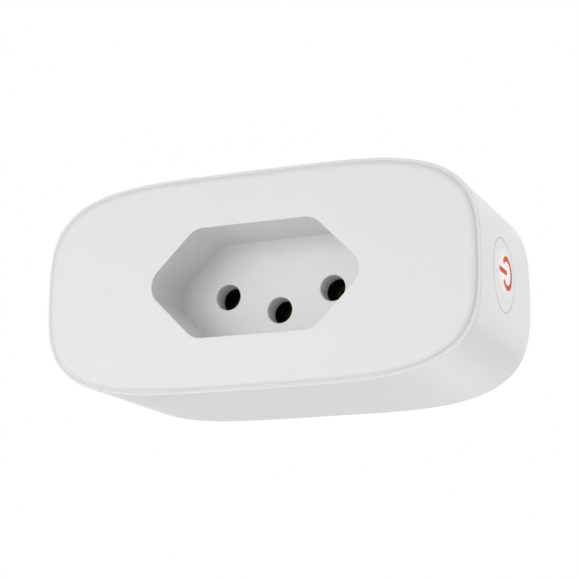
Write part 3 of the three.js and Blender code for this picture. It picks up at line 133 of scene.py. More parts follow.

# %% [markdown]
# ## Helpers for materials
#
# Blender's shaders count in linear light, and colours are given in sRGB, so one function turns a hex
# code into linear values. A second one adds a node with its settings and its links, for shaders and for
# geometry alike. Two short ones fill in a colour ramp and link outputs into a shader.

# %% Colours and nodes
def linear(code):
    """An sRGB hex code as linear RGBA."""
    channels = [int(code[i : i + 2], 16) / 255 for i in (1, 3, 5)]
    return (*[c / 12.92 if c <= 0.04045 else ((c + 0.055) / 1.055) ** 2.4 for c in channels], 1.0)


def first(value):
    """A node stands for its first output. Sockets and plain values stay what they are."""
    return value.outputs[0] if isinstance(value, bpy.types.Node) else value


def add(tree, kind, inputs=None, **settings):
    """Adds one node. Settings are its properties; inputs are values, nodes or sockets, by name or number."""
    node = tree.nodes.new(kind)
    for key, value in settings.items():
        setattr(node, key, value)
    for key, value in (inputs or {}).items():
        value = first(value)
        if isinstance(value, bpy.types.NodeSocket):
            tree.links.new(value, node.inputs[key])
        else:
            node.inputs[key].default_value = value
    return node


def set_stops(ramp, *stops):
    """Gives a colour ramp its stops: pairs of a position and a linear colour."""
    for element, (position, colour) in zip(ramp.color_ramp.elements, stops):
        element.position, element.color = position, colour


def feed(tree, shader, **outputs):
    """Links outputs into a shader. An underscore in an input's name stands for a space."""
    for name, output in outputs.items():
        tree.links.new(first(output), shader.inputs[name.replace("_", " ")])


def start_finish(name, **values):
    """A material with one Principled shader. Returns it with its tree, its shader and a place in mm."""
    material = bpy.data.materials.new(name)
    material.use_nodes = True
    tree = material.node_tree
    tree.nodes.clear()
    shader = add(tree, "ShaderNodeBsdfPrincipled", {k.replace("_", " "): v for k, v in values.items()})
    add(tree, "ShaderNodeOutputMaterial", {"Surface": shader.outputs["BSDF"]})
    place = add(tree, "ShaderNodeTexCoord").outputs["Object"]
    in_mm = add(tree, "ShaderNodeVectorMath", {0: place, "Scale": 1 / MM}, operation="SCALE")
    return material, tree, shader, in_mm


print("white shell in linear light:", [round(c, 3) for c in linear("#E2E2E2")[:3]])

# %% [markdown]
# ## Moulded plastics
#
# The shell is polycarbonate blend, moulded against finely spark-eroded steel. That gives a satin face: broad
# soft highlights, and a grain of about a tenth of a millimetre that the hand feels more than the eye sees. It
# is drawn at 0.18 mm here, so that a close view can show it. Two slower noises give a faint flow variation in
# tone, and a roughness that wanders a little. Other numbers make black PBT and ivory glass-filled nylon.

# %% A function for moulded plastic
FLOW_SIZE, RUB_SIZE = 14, 5  # mm across a patch of tone, and across a patch of gloss
RUB_SPREAD = 0.03


def moulded(name, colour, roughness, ior, grain, relief, mottle):
    """Moulded plastic: grain and relief in mm, mottle as a share of the colour."""
    material, tree, shader, in_mm = start_finish(name, IOR=ior)
    flow = add(tree, "ShaderNodeTexNoise", {"Vector": in_mm, "Scale": 1 / FLOW_SIZE, "Detail": 3.0})
    tone = add(tree, "ShaderNodeValToRGB", {"Fac": flow})
    base = linear(colour)
    set_stops(tone, (0.3, (*[c * (1 - mottle) for c in base[:3]], 1)), (0.7, base))
    rub = add(tree, "ShaderNodeTexNoise", {
        "Vector": in_mm, "Scale": 1 / RUB_SIZE, "Detail": 4.0, "Roughness": 0.6,
    })
    sheen = add(tree, "ShaderNodeMapRange", {
        "Value": rub, "From Min": 0.3, "From Max": 0.7,
        "To Min": roughness - RUB_SPREAD, "To Max": roughness + RUB_SPREAD,
    })
    pits = add(tree, "ShaderNodeTexNoise", {"Vector": in_mm, "Scale": 1 / grain})
    bump = add(tree, "ShaderNodeBump", {"Height": pits, "Distance": relief * MM})
    feed(tree, shader, Base_Color=tone, Roughness=sheen, Normal=bump)
    return material


WHITE_GRAIN = {"ior": 1.58, "grain": 0.18, "relief": 0.004, "mottle": 0.012}
white_polycarbonate = moulded("white_polycarbonate", "#E2E2E2", 0.36, **WHITE_GRAIN)
black_pbt = moulded("black_pbt", "#0E0E0F", 0.5, 1.57, grain=0.15, relief=0.01, mottle=0.1)
ivory_nylon = moulded("ivory_glass_filled_nylon", "#DFD9C6", 0.5, 1.53, grain=0.12, relief=0.012, mottle=0.06)
print("plastics:", white_polycarbonate.name, black_pbt.name, ivory_nylon.name)

# %% [markdown]
# ## Metals
#
# A pin is brass rod, turned and then plated with nickel. The lathe leaves rings round the pin's axis, a few
# hundredths of a millimetre apart. They are drawn 0.12 mm apart. Contacts and straps are stamped from brass
# strip and keep its rolled face, with darker patches at random. Their whole tone is painted darker than
# bright brass, as painted shade, so that the contacts deep inside the socket's holes look dark. Screws and
# the relay's iron have a bluish zinc plate with small crystals. Each is one recipe: a metal, with a fine
# pattern stretched along one axis.

# %% A function for metals
def metal(name, colour, stain, roughness, stretch, pitch, relief, blotch=4.0):
    """Bare or plated metal. Pitch is in mm, stretch scales it along x, y, z, and stain is a darker tone."""
    material, tree, shader, in_mm = start_finish(name, Metallic=1.0)
    spots = add(tree, "ShaderNodeTexNoise", {
        "Vector": in_mm, "Scale": 1 / blotch, "Detail": 5.0, "Roughness": 0.65,
    })
    tone = add(tree, "ShaderNodeValToRGB", {"Fac": spots})
    set_stops(tone, (0.32, linear(stain)), (0.6, linear(colour)))
    along = add(tree, "ShaderNodeMapping", {"Vector": in_mm, "Scale": stretch})
    lines = add(tree, "ShaderNodeTexNoise", {"Vector": along, "Scale": 1 / pitch})
    sheen = add(tree, "ShaderNodeMapRange", {
        "Value": lines, "From Min": 0.3, "From Max": 0.7,
        "To Min": roughness * 0.75, "To Max": roughness * 1.25,
    })
    bump = add(tree, "ShaderNodeBump", {"Height": lines, "Distance": relief * MM})
    feed(tree, shader, Base_Color=tone, Roughness=sheen, Normal=bump)
    return material


ALONG_Y, ROLLED, EVEN = (0.04, 1, 0.04), (1, 0.06, 1), (1, 1, 1)
turned_nickel = metal("turned_nickel_plate", "#D2CFC8", "#C6C2BA", 0.22, ALONG_Y, pitch=0.12, relief=0.003)
# stamped brass: colour and stain are painted darker than bright brass, as painted shade, so the contacts deep
# in the socket's holes look dark
stamped_brass = metal("stamped_brass", "#A98A4C", "#7A5F30", 0.38, ROLLED, pitch=0.15, relief=0.004)
zinc_steel = metal("zinc_plated_steel", "#B9BDC2", "#9A9EA3", 0.33, EVEN, 0.25, relief=0.003, blotch=1.2)
silver_rivet = metal("silver_alloy", "#E2DFDA", "#C4BFB6", 0.3, EVEN, pitch=0.2, relief=0.002)
drawn_aluminium = metal("drawn_aluminium", "#D6D8DA", "#C3C6C9", 0.28, (1, 0.05, 1), pitch=0.2, relief=0.003)
enamelled_copper = metal("enamelled_copper", "#C9713C", "#A8542A", 0.25, EVEN, pitch=0.4, relief=0.001)
print("metals:", turned_nickel.name, stamped_brass.name, zinc_steel.name, enamelled_copper.name)

# %% [markdown]
# ## Board, ferrite and dipped parts
#
# A circuit board is glass cloth in epoxy under a thin glossy green mask. Copper below the mask shows as
# lighter green tracks that run square to the edges, so a Manhattan Voronoi pattern of 2.2 mm cells stands in
# for the routing, and a weave of 0.5 mm gives the cloth. A Mix node's colour sockets share their names, so
# they go by number: 6 and 7 go in, 2 comes out. Ferrite is a matt, dark, fired powder. Dipped and potted
# parts have a smooth, slightly lumpy epoxy skin.

# %% Board and component finishes
TRACK_SIZE, WEAVE_SIZE = 2.2, 0.5  # mm
green_mask, tree, shader, in_mm = start_finish("green_solder_mask", Roughness=0.28, IOR=1.55, Coat_Weight=0.3)
cells = add(tree, "ShaderNodeTexVoronoi", {"Vector": in_mm, "Scale": 1 / TRACK_SIZE}, distance="MANHATTAN")
track = add(tree, "ShaderNodeMapRange", {"Value": cells, "From Min": 0.42, "From Max": 0.46})
mask = add(tree, "ShaderNodeMix", {0: track, 6: linear("#15502D"), 7: linear("#2B7A48")}, data_type="RGBA")
cloth = add(tree, "ShaderNodeTexVoronoi", {
    "Vector": in_mm, "Scale": 1 / WEAVE_SIZE, "Randomness": 0.0,
}, distance="CHEBYCHEV")
relief = add(tree, "ShaderNodeMath", {0: cloth, 1: 0.2, 2: track}, operation="MULTIPLY_ADD")
bump = add(tree, "ShaderNodeBump", {"Height": relief, "Distance": 0.03 * MM})
feed(tree, shader, Base_Color=mask.outputs[2], Normal=bump)
fired_ferrite = moulded("fired_ferrite", "#3A3B3E", 0.7, 1.9, grain=0.1, relief=0.02, mottle=0.2)
blue_epoxy = moulded("blue_dipped_epoxy", "#2B5FB0", 0.25, 1.55, grain=1.2, relief=0.02, mottle=0.1)
orange_epoxy = moulded("orange_film_case", "#D98A2B", 0.3, 1.55, grain=0.4, relief=0.01, mottle=0.08)
clear_lens = moulded("clear_led_lens", "#F3F1EA", 0.15, 1.5, grain=0.5, relief=0.002, mottle=0.03)
print("board and component finishes:", green_mask.name, fired_ferrite.name, blue_epoxy.name)

# %% [markdown]
# ## The glowing power sign
#
# On the real plug a light guide of clear orange-tinted plastic stands behind the button, and its power sign
# reaches the surface. A light-emitting diode below shines into it, so the sign glows orange-red, a little
# unevenly. Its face is matt and reflects little, so it keeps its colour at a grazing angle.

# %% The lit insert
SIGN_Y, SIGN_Z = BUTTON_Y + 1.8, 0.65  # centre of the ring
SIGN_RADIUS, SIGN_STROKE = 2.4, 0.85
SIGN_GAP = math.radians(45)
BAR_START, BAR_LENGTH = 0.45, 3.6
lit_orange, tree, shader, in_mm = start_finish(
    "lit_orange_guide", Roughness=0.5, IOR=1.49, Specular_IOR_Level=0.15,
)
shader.inputs["Base Color"].default_value = linear("#B03A18")
cloud = add(tree, "ShaderNodeTexNoise", {"Vector": in_mm, "Scale": 0.6})
glow = add(tree, "ShaderNodeMix", {0: cloud, 6: linear("#E84A1C"), 7: linear("#F2622E")}, data_type="RGBA")
feed(tree, shader, Emission_Color=glow.outputs[2])
shader.inputs["Emission Strength"].default_value = 0.2
print("lit insert:", lit_orange.name, "with", len(tree.nodes), "nodes")

# %% [markdown]
# The cap is the shell's white polycarbonate, only a millimetre thick over the light guide, so a little warm
# light leaks through round the sign. A soft round patch of faint emission does that. It falls off smoothly
# over nearly five millimetres.

# %% The backlit cap
LEAK_WIDTH, LEAK_HEIGHT, LEAK_SHIFT = 5.0, 4.6, 1.1  # mm; the patch reaches from the sign to the cap's middle
backlit_cap = moulded("backlit_polycarbonate", "#E2E1E0", 0.34, **WHITE_GRAIN)
cap_tree = backlit_cap.node_tree
cap_shader = next(n for n in cap_tree.nodes if n.type == "BSDF_PRINCIPLED")
from_sign = add(cap_tree, "ShaderNodeMapping", {
    "Vector": add(cap_tree, "ShaderNodeTexCoord").outputs["Object"],
    "Location": (0, -(SIGN_Y - LEAK_SHIFT) / LEAK_WIDTH, -SIGN_Z / LEAK_HEIGHT),
    "Scale": (0, 1 / LEAK_WIDTH / MM, 1 / LEAK_HEIGHT / MM),
})
patch = add(cap_tree, "ShaderNodeTexGradient", {"Vector": from_sign}, gradient_type="SPHERICAL")
leak = add(cap_tree, "ShaderNodeMix", {
    0: patch.outputs["Fac"], 6: linear("#000000"), 7: linear("#FFDCC4"),
}, data_type="RGBA")
feed(cap_tree, cap_shader, Emission_Color=leak.outputs[2])
cap_shader.inputs["Emission Strength"].default_value = 0.2
print("sign centre at y", round(SIGN_Y, 2), "z", SIGN_Z)

# %% [markdown]
# ## Forms from rings
#
# Moulding and turning give forms that are stacks of closed outlines. So a form here is rings of vertices
# joined by strips of quads. A flat face with holes is filled between its rims. Where a rounded edge meets a
# flat face, one extra ring 0.15 mm inside the face keeps the shading flat right up to the edge.

# %% Stacks, fills and finished pieces
SUPPORT = 0.15  # width of the flat ring that borders a rounded edge


def stack(form, outlines, back_to_start=False):
    """Makes a ring of vertices from each outline and joins each ring to the next with quads."""
    rings = [[form.verts.new(Vector(p) * MM) for p in points] for points in outlines]
    for near, far in zip(rings, rings[1:] + rings[:1] * back_to_start):
        for i, corner in enumerate(near):
            after = (i + 1) % len(near)
            form.faces.new((corner, near[after], far[after], far[i]))
    return rings


def close(form, rim, centre):
    """Closes a rim with a fan of triangles."""
    tip = form.verts.new(Vector(centre) * MM)
    for a, b in zip(rim, rim[1:] + rim[:1]):
        form.faces.new((a, b, tip))


def fill(form, *rims):
    """Fills the flat region between closed rims, holes left open."""
    edges = []
    for rim in rims:
        for a, b in zip(rim, rim[1:] + rim[:1]):
            edges.append(form.edges.get((a, b)) or form.edges.new((a, b)))
    bmesh.ops.triangle_fill(form, use_beauty=True, edges=edges)


def prism(form, outlines):
    """A stack of outlines that is filled flat at both ends."""
    rings = stack(form, outlines)
    fill(form, rings[0])
    fill(form, rings[-1])
    return form


def finished(name, form, material, sharp=30):
    """A closed bmesh as an object, faces out, smooth except across edges sharper than some degrees."""
    bmesh.ops.recalc_face_normals(form, faces=form.faces)
    if form.calc_volume(signed=True) < 0:
        bmesh.ops.reverse_faces(form, faces=form.faces)
    open_edges = sum(not e.is_manifold for e in form.edges)
    mesh = bpy.data.meshes.new(name)
    form.to_mesh(mesh)
    form.free()
    return as_piece(name, mesh, material, sharp, open_edges)


def as_piece(name, mesh, material, sharp=30, open_edges=0):
    mesh.materials.clear()
    mesh.materials.append(material)
    mesh.shade_smooth()
    mesh.set_sharp_from_angle(angle=math.radians(sharp))
    piece = bpy.data.objects.new(name, mesh)
    bpy.context.scene.collection.objects.link(piece)
    print(f"{name}: {len(mesh.polygons)} faces, {open_edges} open edges")
    return piece


def evaluated(thing):
    """What an object's modifiers make of it, as a plain mesh."""
    bpy.context.view_layer.update()
    graph = bpy.context.evaluated_depsgraph_get()
    return bpy.data.meshes.new_from_object(thing.evaluated_get(graph))


def carve(piece, tools, how):
    """Joins or cuts with closed tools, then makes the result the piece's plain mesh."""
    for tool in tools:
        step = piece.modifiers.new("step", "BOOLEAN")
        step.operation, step.solver, step.object = how, "MANIFOLD", tool
    shape = evaluated(piece)
    piece.modifiers.clear()
    own_finish = piece.data.materials[0]
    old, piece.data = piece.data, shape
    bpy.data.meshes.remove(old)
    shape.materials.clear()
    shape.materials.append(own_finish)  # or the cut faces would keep the cutter's
    for face in shape.polygons:
        face.material_index = 0
    for tool in tools:
        bpy.data.objects.remove(tool)
    shape.set_sharp_from_angle(angle=math.radians(30))
    print(f"  {piece.name} after {how.lower()}: {len(shape.polygons)} faces")
    return piece


# %% [markdown]
# Outlines that return again and again get a function each. The outlet standard's hexagon has 45 degree
# flanks and rounded corners. A turned part is a profile of radius and depth pairs swept round an axis. A
# rounded edge is a quarter of an ellipse between two flat lines, given as pairs too.

# %% Outlines
def side_x(z, inset=0.0):
    """How far out the right end wall stands at height z."""
    fullness = 1 - abs(z / (HALF_HEIGHT - inset)) ** POWER_UP
    return (HALF_WIDTH - inset) * fullness ** (1 / POWER_ACROSS)


def hexagon(grow, y, steps=8, along=6):
    tip, top = HEX_TIP + grow * math.sqrt(2), HEX_TOP + grow
    rough = [(tip, 0), (tip - top, top), (top - tip, top), (-tip, 0), (top - tip, -top), (tip - top, -top)]
    corners_2d = [Vector(c) for c in rough]
    radius = HEX_CORNER + grow
    arcs = []
    for i, corner in enumerate(corners_2d):
        back = (corners_2d[i - 1] - corner).normalized()
        ahead = (corners_2d[(i + 1) % 6] - corner).normalized()
        half = back.angle(ahead) / 2
        centre = corner + (back + ahead).normalized() * radius / math.sin(half)
        spoke = corner + back * radius / math.tan(half) - centre
        first = math.atan2(spoke.y, spoke.x)
        sweep = math.pi - 2 * half
        angles = [first + sweep * step / steps for step in range(steps + 1)]
        arcs.append([centre + radius * Vector((math.cos(a), math.sin(a))) for a in angles])
    points = []
    for arc, after in zip(arcs, arcs[1:] + arcs[:1]):
        points += arc
        points += [arc[-1].lerp(after[0], k / along) for k in range(1, along)]
    return [(p.x, y, p.y) for p in points]


def circle(x, z, radius, y, count=48):
    turns = [2 * math.pi * i / count for i in range(count)]
    return [(x + radius * math.cos(t), y, z + radius * math.sin(t)) for t in turns]


def turned(form, x, z, profile, count=48):
    """Sweeps (radius, y) pairs round the Y axis; a radius of 0 closes the form there."""
    rings = stack(form, [circle(x, z, radius, y, count) for radius, y in profile if radius > 0])
    for end, (radius, y) in ((rings[0], profile[0]), (rings[-1], profile[-1])):
        if radius == 0:
            close(form, end, (x, y, z))
    return rings


def hexagonal(form, profile):
    """A stack of hexagon rings from (growth, y) pairs."""
    return stack(form, [hexagon(grow, y) for grow, y in profile])


def rounding(start, corner, end, steps=6):
    """A quarter ellipse from start to end that bulges towards the corner, as pairs."""
    pairs = []
    for step in range(steps + 1):
        angle = math.pi / 2 * step / steps
        a, b = 1 - math.sin(angle), 1 - math.cos(angle)
        pairs.append(tuple(c + (s - c) * a + (e - c) * b for s, c, e in zip(start, corner, end)))
    return pairs


def lined_hole(form, x, z, radius, near_y, far_y, edge):
    """The wall of a round hole whose near mouth is rounded. Returns its near and its far rim."""
    inward = near_y + math.copysign(edge, far_y - near_y)
    mouth = rounding((radius + edge, near_y), (radius, near_y), (radius, inward), 4)
    rings = turned(form, x, z, [(radius + edge + SUPPORT, near_y), *mouth, (radius, far_y)])
    return rings[0], rings[-1]


def rod(radius, low, high):
    """A plain cylinder's profile."""
    return [(0, low), (radius, low), (radius, high), (0, high)]


def tool(x, z, profile):
    """A closed turned body for joining to a piece or cutting from it."""
    form = bmesh.new()
    turned(form, x, z, profile)
    return finished("tool", form, black_pbt)


print("end wall stands at x", round(side_x(0), 2), "and at", round(side_x(6), 2), "six mm above the middle")

# %% [markdown]
# ## Shell skins by Geometry Nodes
#
# Cover and housing share one rule: every ring is the same superellipse, only further in or out and further
# back. The starting mesh is nothing but the profile, one vertex per ring, holding how far the ring is inset
# (x) and how deep it lies (y). The tree lays out a grid, looks up each row's inset and depth in the profile,
# and bends the columns round the superellipse.

# %% A helper for geometry trees
def geometry_tree(name, sizes):
    """A tree with a Geometry input and output, and a named input for each of its sizes."""
    tree = bpy.data.node_groups.new(name, "GeometryNodeTree")
    kinds = {int: "NodeSocketInt", float: "NodeSocketFloat", type(None): "NodeSocketMaterial"}
    tree.interface.new_socket(name="Geometry", in_out="INPUT", socket_type="NodeSocketGeometry")
    for label, value in sizes.items():
        tree.interface.new_socket(name=label, in_out="INPUT", socket_type=kinds[type(value)])
    tree.interface.new_socket(name="Geometry", in_out="OUTPUT", socket_type="NodeSocketGeometry")
    return tree, tree.nodes.new("NodeGroupInput").outputs


def end_tree(tree, geometry, given):
    """Ends a tree with Realize Instances and Set Material."""
    real = add(tree, "GeometryNodeRealizeInstances", {"Geometry": geometry})
    dyed = add(tree, "GeometryNodeSetMaterial", {"Geometry": real, "Material": given["Material"]})
    add(tree, "NodeGroupOutput", {0: dyed})


def grown(name, start, tree, sizes):
    """Runs a tree on a starting mesh and returns the result as a plain mesh."""
    holder = bpy.data.objects.new(name, start)
    bpy.context.scene.collection.objects.link(holder)
    growth = holder.modifiers.new("growth", "NODES")
    growth.node_group = tree
    for socket in tree.interface.items_tree:
        if socket.in_out == "INPUT" and socket.name in sizes:
            growth[socket.identifier] = sizes[socket.name]
    mesh = evaluated(holder)
    mesh.name = name
    bpy.data.objects.remove(holder)
    bpy.data.meshes.remove(start)
    print(f"{name}: grown to {len(mesh.vertices)} vertices")
    return mesh


# %% The superellipse skin tree
COLUMNS = 360
CORNER_CROWDING = -0.2  # moves columns from the flat sides to the corners
SEAM_MERGE = 0.004  # mm; joins the last column to the first
tree, given = geometry_tree("superellipse_skin", {
    "Columns": COLUMNS, "Half width": 0.0, "Half height": 0.0, "Power across": 0.0, "Power up": 0.0,
    "Material": None,
})
index = add(tree, "GeometryNodeInputIndex")
rows = add(tree, "GeometryNodeAttributeDomainSize", {"Geometry": given["Geometry"]})
row_length = add(tree, "ShaderNodeMath", {0: given["Columns"], 1: 1.0}, operation="ADD")
row = add(tree, "ShaderNodeMath", {0: index, 1: row_length}, operation="DIVIDE")
profile_point = add(tree, "GeometryNodeSampleIndex", {
    "Geometry": given["Geometry"], "Value": add(tree, "GeometryNodeInputPosition"),
    "Index": add(tree, "ShaderNodeMath", {0: row}, operation="FLOOR"),
}, data_type="FLOAT_VECTOR", domain="POINT")
inset_depth = add(tree, "ShaderNodeSeparateXYZ", {0: profile_point})
known = {output.name: output for output in given}
known.update({"index": index, "row length": row_length, "inset": inset_depth})
sums = [  # a result's name, its operation, and numbers or names known so far
    ("column", "FLOORED_MODULO", "index", "row length"),
    ("share", "DIVIDE", "column", "Columns"),
    ("turn", "MULTIPLY", "share", 2 * math.pi),
    ("fourfold", "MULTIPLY", "turn", 4.0),
    ("wave", "SINE", "fourfold"),
    ("even turn", "MULTIPLY_ADD", "wave", CORNER_CROWDING, "turn"),
]
for place, swing, half, power in (
    ("across", "COSINE", "Half width", "Power across"), ("up", "SINE", "Half height", "Power up"),
):
    sums += [
        ("swing", swing, "even turn"),
        ("side", "SIGN", "swing"),
        ("size", "ABSOLUTE", "swing"),
        ("exponent", "DIVIDE", 2.0, power),
        ("bent", "POWER", "size", "exponent"),
        ("signed", "MULTIPLY", "bent", "side"),
        ("reach", "SUBTRACT", half, "inset"),
        (place, "MULTIPLY", "signed", "reach"),
    ]
for name, operation, *terms in sums:
    inputs = {i: known.get(term, term) for i, term in enumerate(terms)}
    known[name] = add(tree, "ShaderNodeMath", inputs, operation=operation)
spot = add(tree, "ShaderNodeCombineXYZ", {
    "X": known["across"], "Y": inset_depth.outputs["Y"], "Z": known["up"],
})
grid = add(tree, "GeometryNodeMeshGrid", {"Vertices X": rows, "Vertices Y": row_length})
bent_grid = add(tree, "GeometryNodeSetPosition", {"Geometry": grid, "Position": spot})
closed_grid = add(tree, "GeometryNodeMergeByDistance", {"Geometry": bent_grid, "Distance": SEAM_MERGE * MM})
end_tree(tree, closed_grid, given)
skin_tree = tree
print("skin tree:", len(tree.nodes), "nodes")


# %% Skins from profiles
def skin(name, profile, material):
    """A skin from (inset, depth) pairs in mm. Returns a bmesh and its two open rims, the front one first."""
    start = bpy.data.meshes.new(name)
    start.from_pydata([(inset * MM, depth * MM, 0) for inset, depth in profile], [], [])
    mesh = grown(name, start, skin_tree, {
        "Columns": COLUMNS, "Half width": HALF_WIDTH * MM, "Half height": HALF_HEIGHT * MM,
        "Power across": POWER_ACROSS, "Power up": POWER_UP, "Material": material,
    })
    form = bmesh.new()
    form.from_mesh(mesh)
    bpy.data.meshes.remove(mesh)
    left = {e for e in form.edges if e.is_boundary}
    rims = []
    while left:
        edge = left.pop()
        loop = [edge.verts[0], edge.verts[1]]
        while loop[-1] is not loop[0]:
            edge = next(e for e in loop[-1].link_edges if e in left)
            left.discard(edge)
            loop.append(edge.other_vert(loop[-1]))
        rims.append(loop[:-1])
    return form, sorted(rims, key=lambda rim: rim[0].co.y)


# %% [markdown]
# ## The front cover
#
# Face plate, skirt and the socket's hexagonal well are one moulding. The plate's rounded rim ends 0.25 mm
# short of the housing's lip. A step below the rim reaches the lip, so the line between the two is a shallow
# groove with a lit bottom. Plate edge, back and skirt follow the superellipse, so the skin tree makes them.
# The well hangs from the plate: hexagon rings go down its wall, round the edge of its floor and up the
# outside again. Three holes pass through the floor, each with a softly rounded mouth.

# %% Build the cover
GROOVE_Y = LIP_Y + 0.04
plate_edge = LIP + SEAM
plate_flat = plate_edge + RIM_WIDTH
skirt_outer = WALL + 0.3
skirt_inner = skirt_outer + SKIRT_THICKNESS
cover_profile = [
    (plate_flat + SUPPORT, FRONT_Y),
    *rounding((plate_flat, FRONT_Y), (plate_edge, FRONT_Y), (plate_edge, FRONT_Y + RIM_DEPTH)),
    (plate_edge, GROOVE_Y),
    (LIP + 0.02, GROOVE_Y),
    (LIP + 0.02, COVER_BACK_Y),
    (skirt_outer, COVER_BACK_Y),
    (skirt_outer, SKIRT_REAR_Y),
    (skirt_inner, SKIRT_REAR_Y),
    (skirt_inner, COVER_BACK_Y),
]
form, (face_rim, back_rim) = skin("cover_skin", cover_profile, white_polycarbonate)
mouth_edge, floor_edge = 0.12, 0.1
well = hexagonal(form, [
    (mouth_edge + SUPPORT, FRONT_Y),
    *rounding((mouth_edge, FRONT_Y), (0, FRONT_Y), (0, FRONT_Y + mouth_edge), 4),
    (0, FRONT_Y + mouth_edge + SUPPORT),
    (0, WELL_FLOOR_Y - floor_edge - SUPPORT),
    *rounding((0, WELL_FLOOR_Y - floor_edge), (0, WELL_FLOOR_Y), (-floor_edge, WELL_FLOOR_Y), 5),
    (-floor_edge - SUPPORT, WELL_FLOOR_Y),
])
well_outside = hexagonal(form, [(WELL_WALL, WELL_BACK_Y), (WELL_WALL, COVER_BACK_Y)])
entries = [
    lined_hole(form, x, z, ENTRY_RADIUS, WELL_FLOOR_Y, WELL_BACK_Y, ENTRY_CHAMFER) for x, z in PINS.values()
]
fill(form, face_rim, well[0])
fill(form, well[-1], *[near for near, far in entries])
fill(form, well_outside[0], *[far for near, far in entries])
fill(form, back_rim, well_outside[-1])
front_cover = finished("front_cover_shell", form, white_polycarbonate)

# %% Add the four screw bosses and drill them
SCREWS = [(x * SCREW_X, z * SCREW_Z) for x, z in ((1, 1), (-1, 1), (-1, -1), (1, -1))]
boss_end = POST_TOP_Y - 0.1
boss_root_y = COVER_BACK_Y - 1
boss = [
    (0, boss_root_y), (BOSS_RADIUS, boss_root_y), (BOSS_RADIUS, boss_end - 0.3),
    (BOSS_RADIUS - 0.3, boss_end), (0, boss_end),
]
carve(front_cover, [tool(x, z, boss) for x, z in SCREWS], "UNION")
pilot = rod(PILOT_RADIUS, boss_end - PILOT_DEPTH, boss_end + 1)
carve(front_cover, [tool(x, z, pilot) for x, z in SCREWS], "DIFFERENCE")

# %% [markdown]
# ## The rear housing
#
# The tub is one moulding as well, with the hexagonal boss that goes into the outlet. Its profile starts at
# the flat of the rear wall, goes forward along the outside, turns at the lip and comes back along the inside.
# The boss is hollow up to its end wall, where the pins come through. Four posts with counterbores take the
# housing screws, and the button's hole goes through the right end wall.

# %% Build the tub
LIP_ROUND = 0.16
tub_profile = [
    (REAR_ROUND + SUPPORT, REAR_Y),
    *rounding((REAR_ROUND, REAR_Y), (0, REAR_Y), (0, REAR_Y - REAR_ROUND), 10),
    (0, REAR_Y - REAR_ROUND - SUPPORT),
    (0, LIP_Y + LIP_ROUND + SUPPORT),
    *rounding((0, LIP_Y + LIP_ROUND), (0, LIP_Y), (LIP_ROUND, LIP_Y)),
    *rounding((LIP - 0.05, LIP_Y), (LIP, LIP_Y), (LIP, LIP_Y + 0.05), 3),
    (LIP, COVER_BACK_Y + 0.1),
    (WALL, COVER_BACK_Y + 0.1),
    (WALL, REAR_INNER_Y),
]
form, (inner_rim, rear_rim) = skin("tub_skin", tub_profile, white_polycarbonate)
boss_edge, boss_root = 0.5, 0.3
boss = hexagonal(form, [
    (boss_root - BOSS_INSET + SUPPORT, REAR_Y),
    *rounding((boss_root - BOSS_INSET, REAR_Y), (-BOSS_INSET, REAR_Y), (-BOSS_INSET, REAR_Y + boss_root), 4),
    (-BOSS_INSET, REAR_Y + boss_root + SUPPORT),
    (-BOSS_INSET, -boss_edge - SUPPORT),
    *rounding((-BOSS_INSET, -boss_edge), (-BOSS_INSET, 0), (-BOSS_INSET - boss_edge, 0)),
    (-BOSS_INSET - boss_edge - SUPPORT, 0),
])
hollow = hexagonal(form, [(-BOSS_INSET - BOSS_WALL, REAR_INNER_Y), (-BOSS_INSET - BOSS_WALL, -BOSS_WALL)])
pin_holes = [lined_hole(form, x, z, 2.1, 0, -BOSS_WALL, 0.15) for x, z in PINS.values()]
fill(form, rear_rim, boss[0])
fill(form, boss[-1], *[near for near, far in pin_holes])
fill(form, hollow[-1], *[far for near, far in pin_holes])
fill(form, inner_rim, hollow[0])
rear_housing = finished("rear_housing_tub", form, white_polycarbonate)

# %% Add the posts inside, then cut the screw bores
RETAINER_SCREWS = [(PIN_X / 2, 4.25), (-PIN_X / 2, 4.25)]
counterbore = [
    (0, POST_TOP_Y - 1), (1.45, POST_TOP_Y - 1), (1.45, SCREW_SEAT_Y), (2.4, SCREW_SEAT_Y),
    (2.4, REAR_Y - 0.3), (2.7, REAR_Y), (3.7, REAR_Y + 1), (0, REAR_Y + 1),
]
for how, profile, spots in (
    ("UNION", rod(SEAT_RADIUS, SEAT_TOP_Y, REAR_INNER_Y + 1), SCREWS),
    ("UNION", rod(POST_RADIUS, POST_TOP_Y, REAR_INNER_Y + 1), SCREWS),
    ("UNION", rod(*RETAINER_POST), RETAINER_SCREWS),
    ("DIFFERENCE", counterbore, SCREWS),
    ("DIFFERENCE", rod(*RETAINER_BORE), RETAINER_SCREWS),
):
    carve(rear_housing, [tool(x, z, profile) for x, z in spots], how)

# %% [markdown]
# The button's hole is cut along X through a wall that curves. Its cutter's rings lie on that curved surface,
# so the small chamfer at the mouth keeps the same width all the way round. The cap's crown uses the same
# rings, which makes it flush everywhere.

# %% Cut the button's hole
def on_wall(radius, out=0.0):
    """A circle round the button's axis, laid on the end wall or lifted some way off it."""
    turns = [2 * math.pi * i / 96 for i in range(96)]
    places = [(BUTTON_Y + radius * math.cos(t), radius * math.sin(t)) for t in turns]
    return [(side_x(z) + out, y, z) for y, z in places]


def flat_on(x, points):
    """The same points, moved along X to one height."""
    return [(x, y, z) for _, y, z in points]


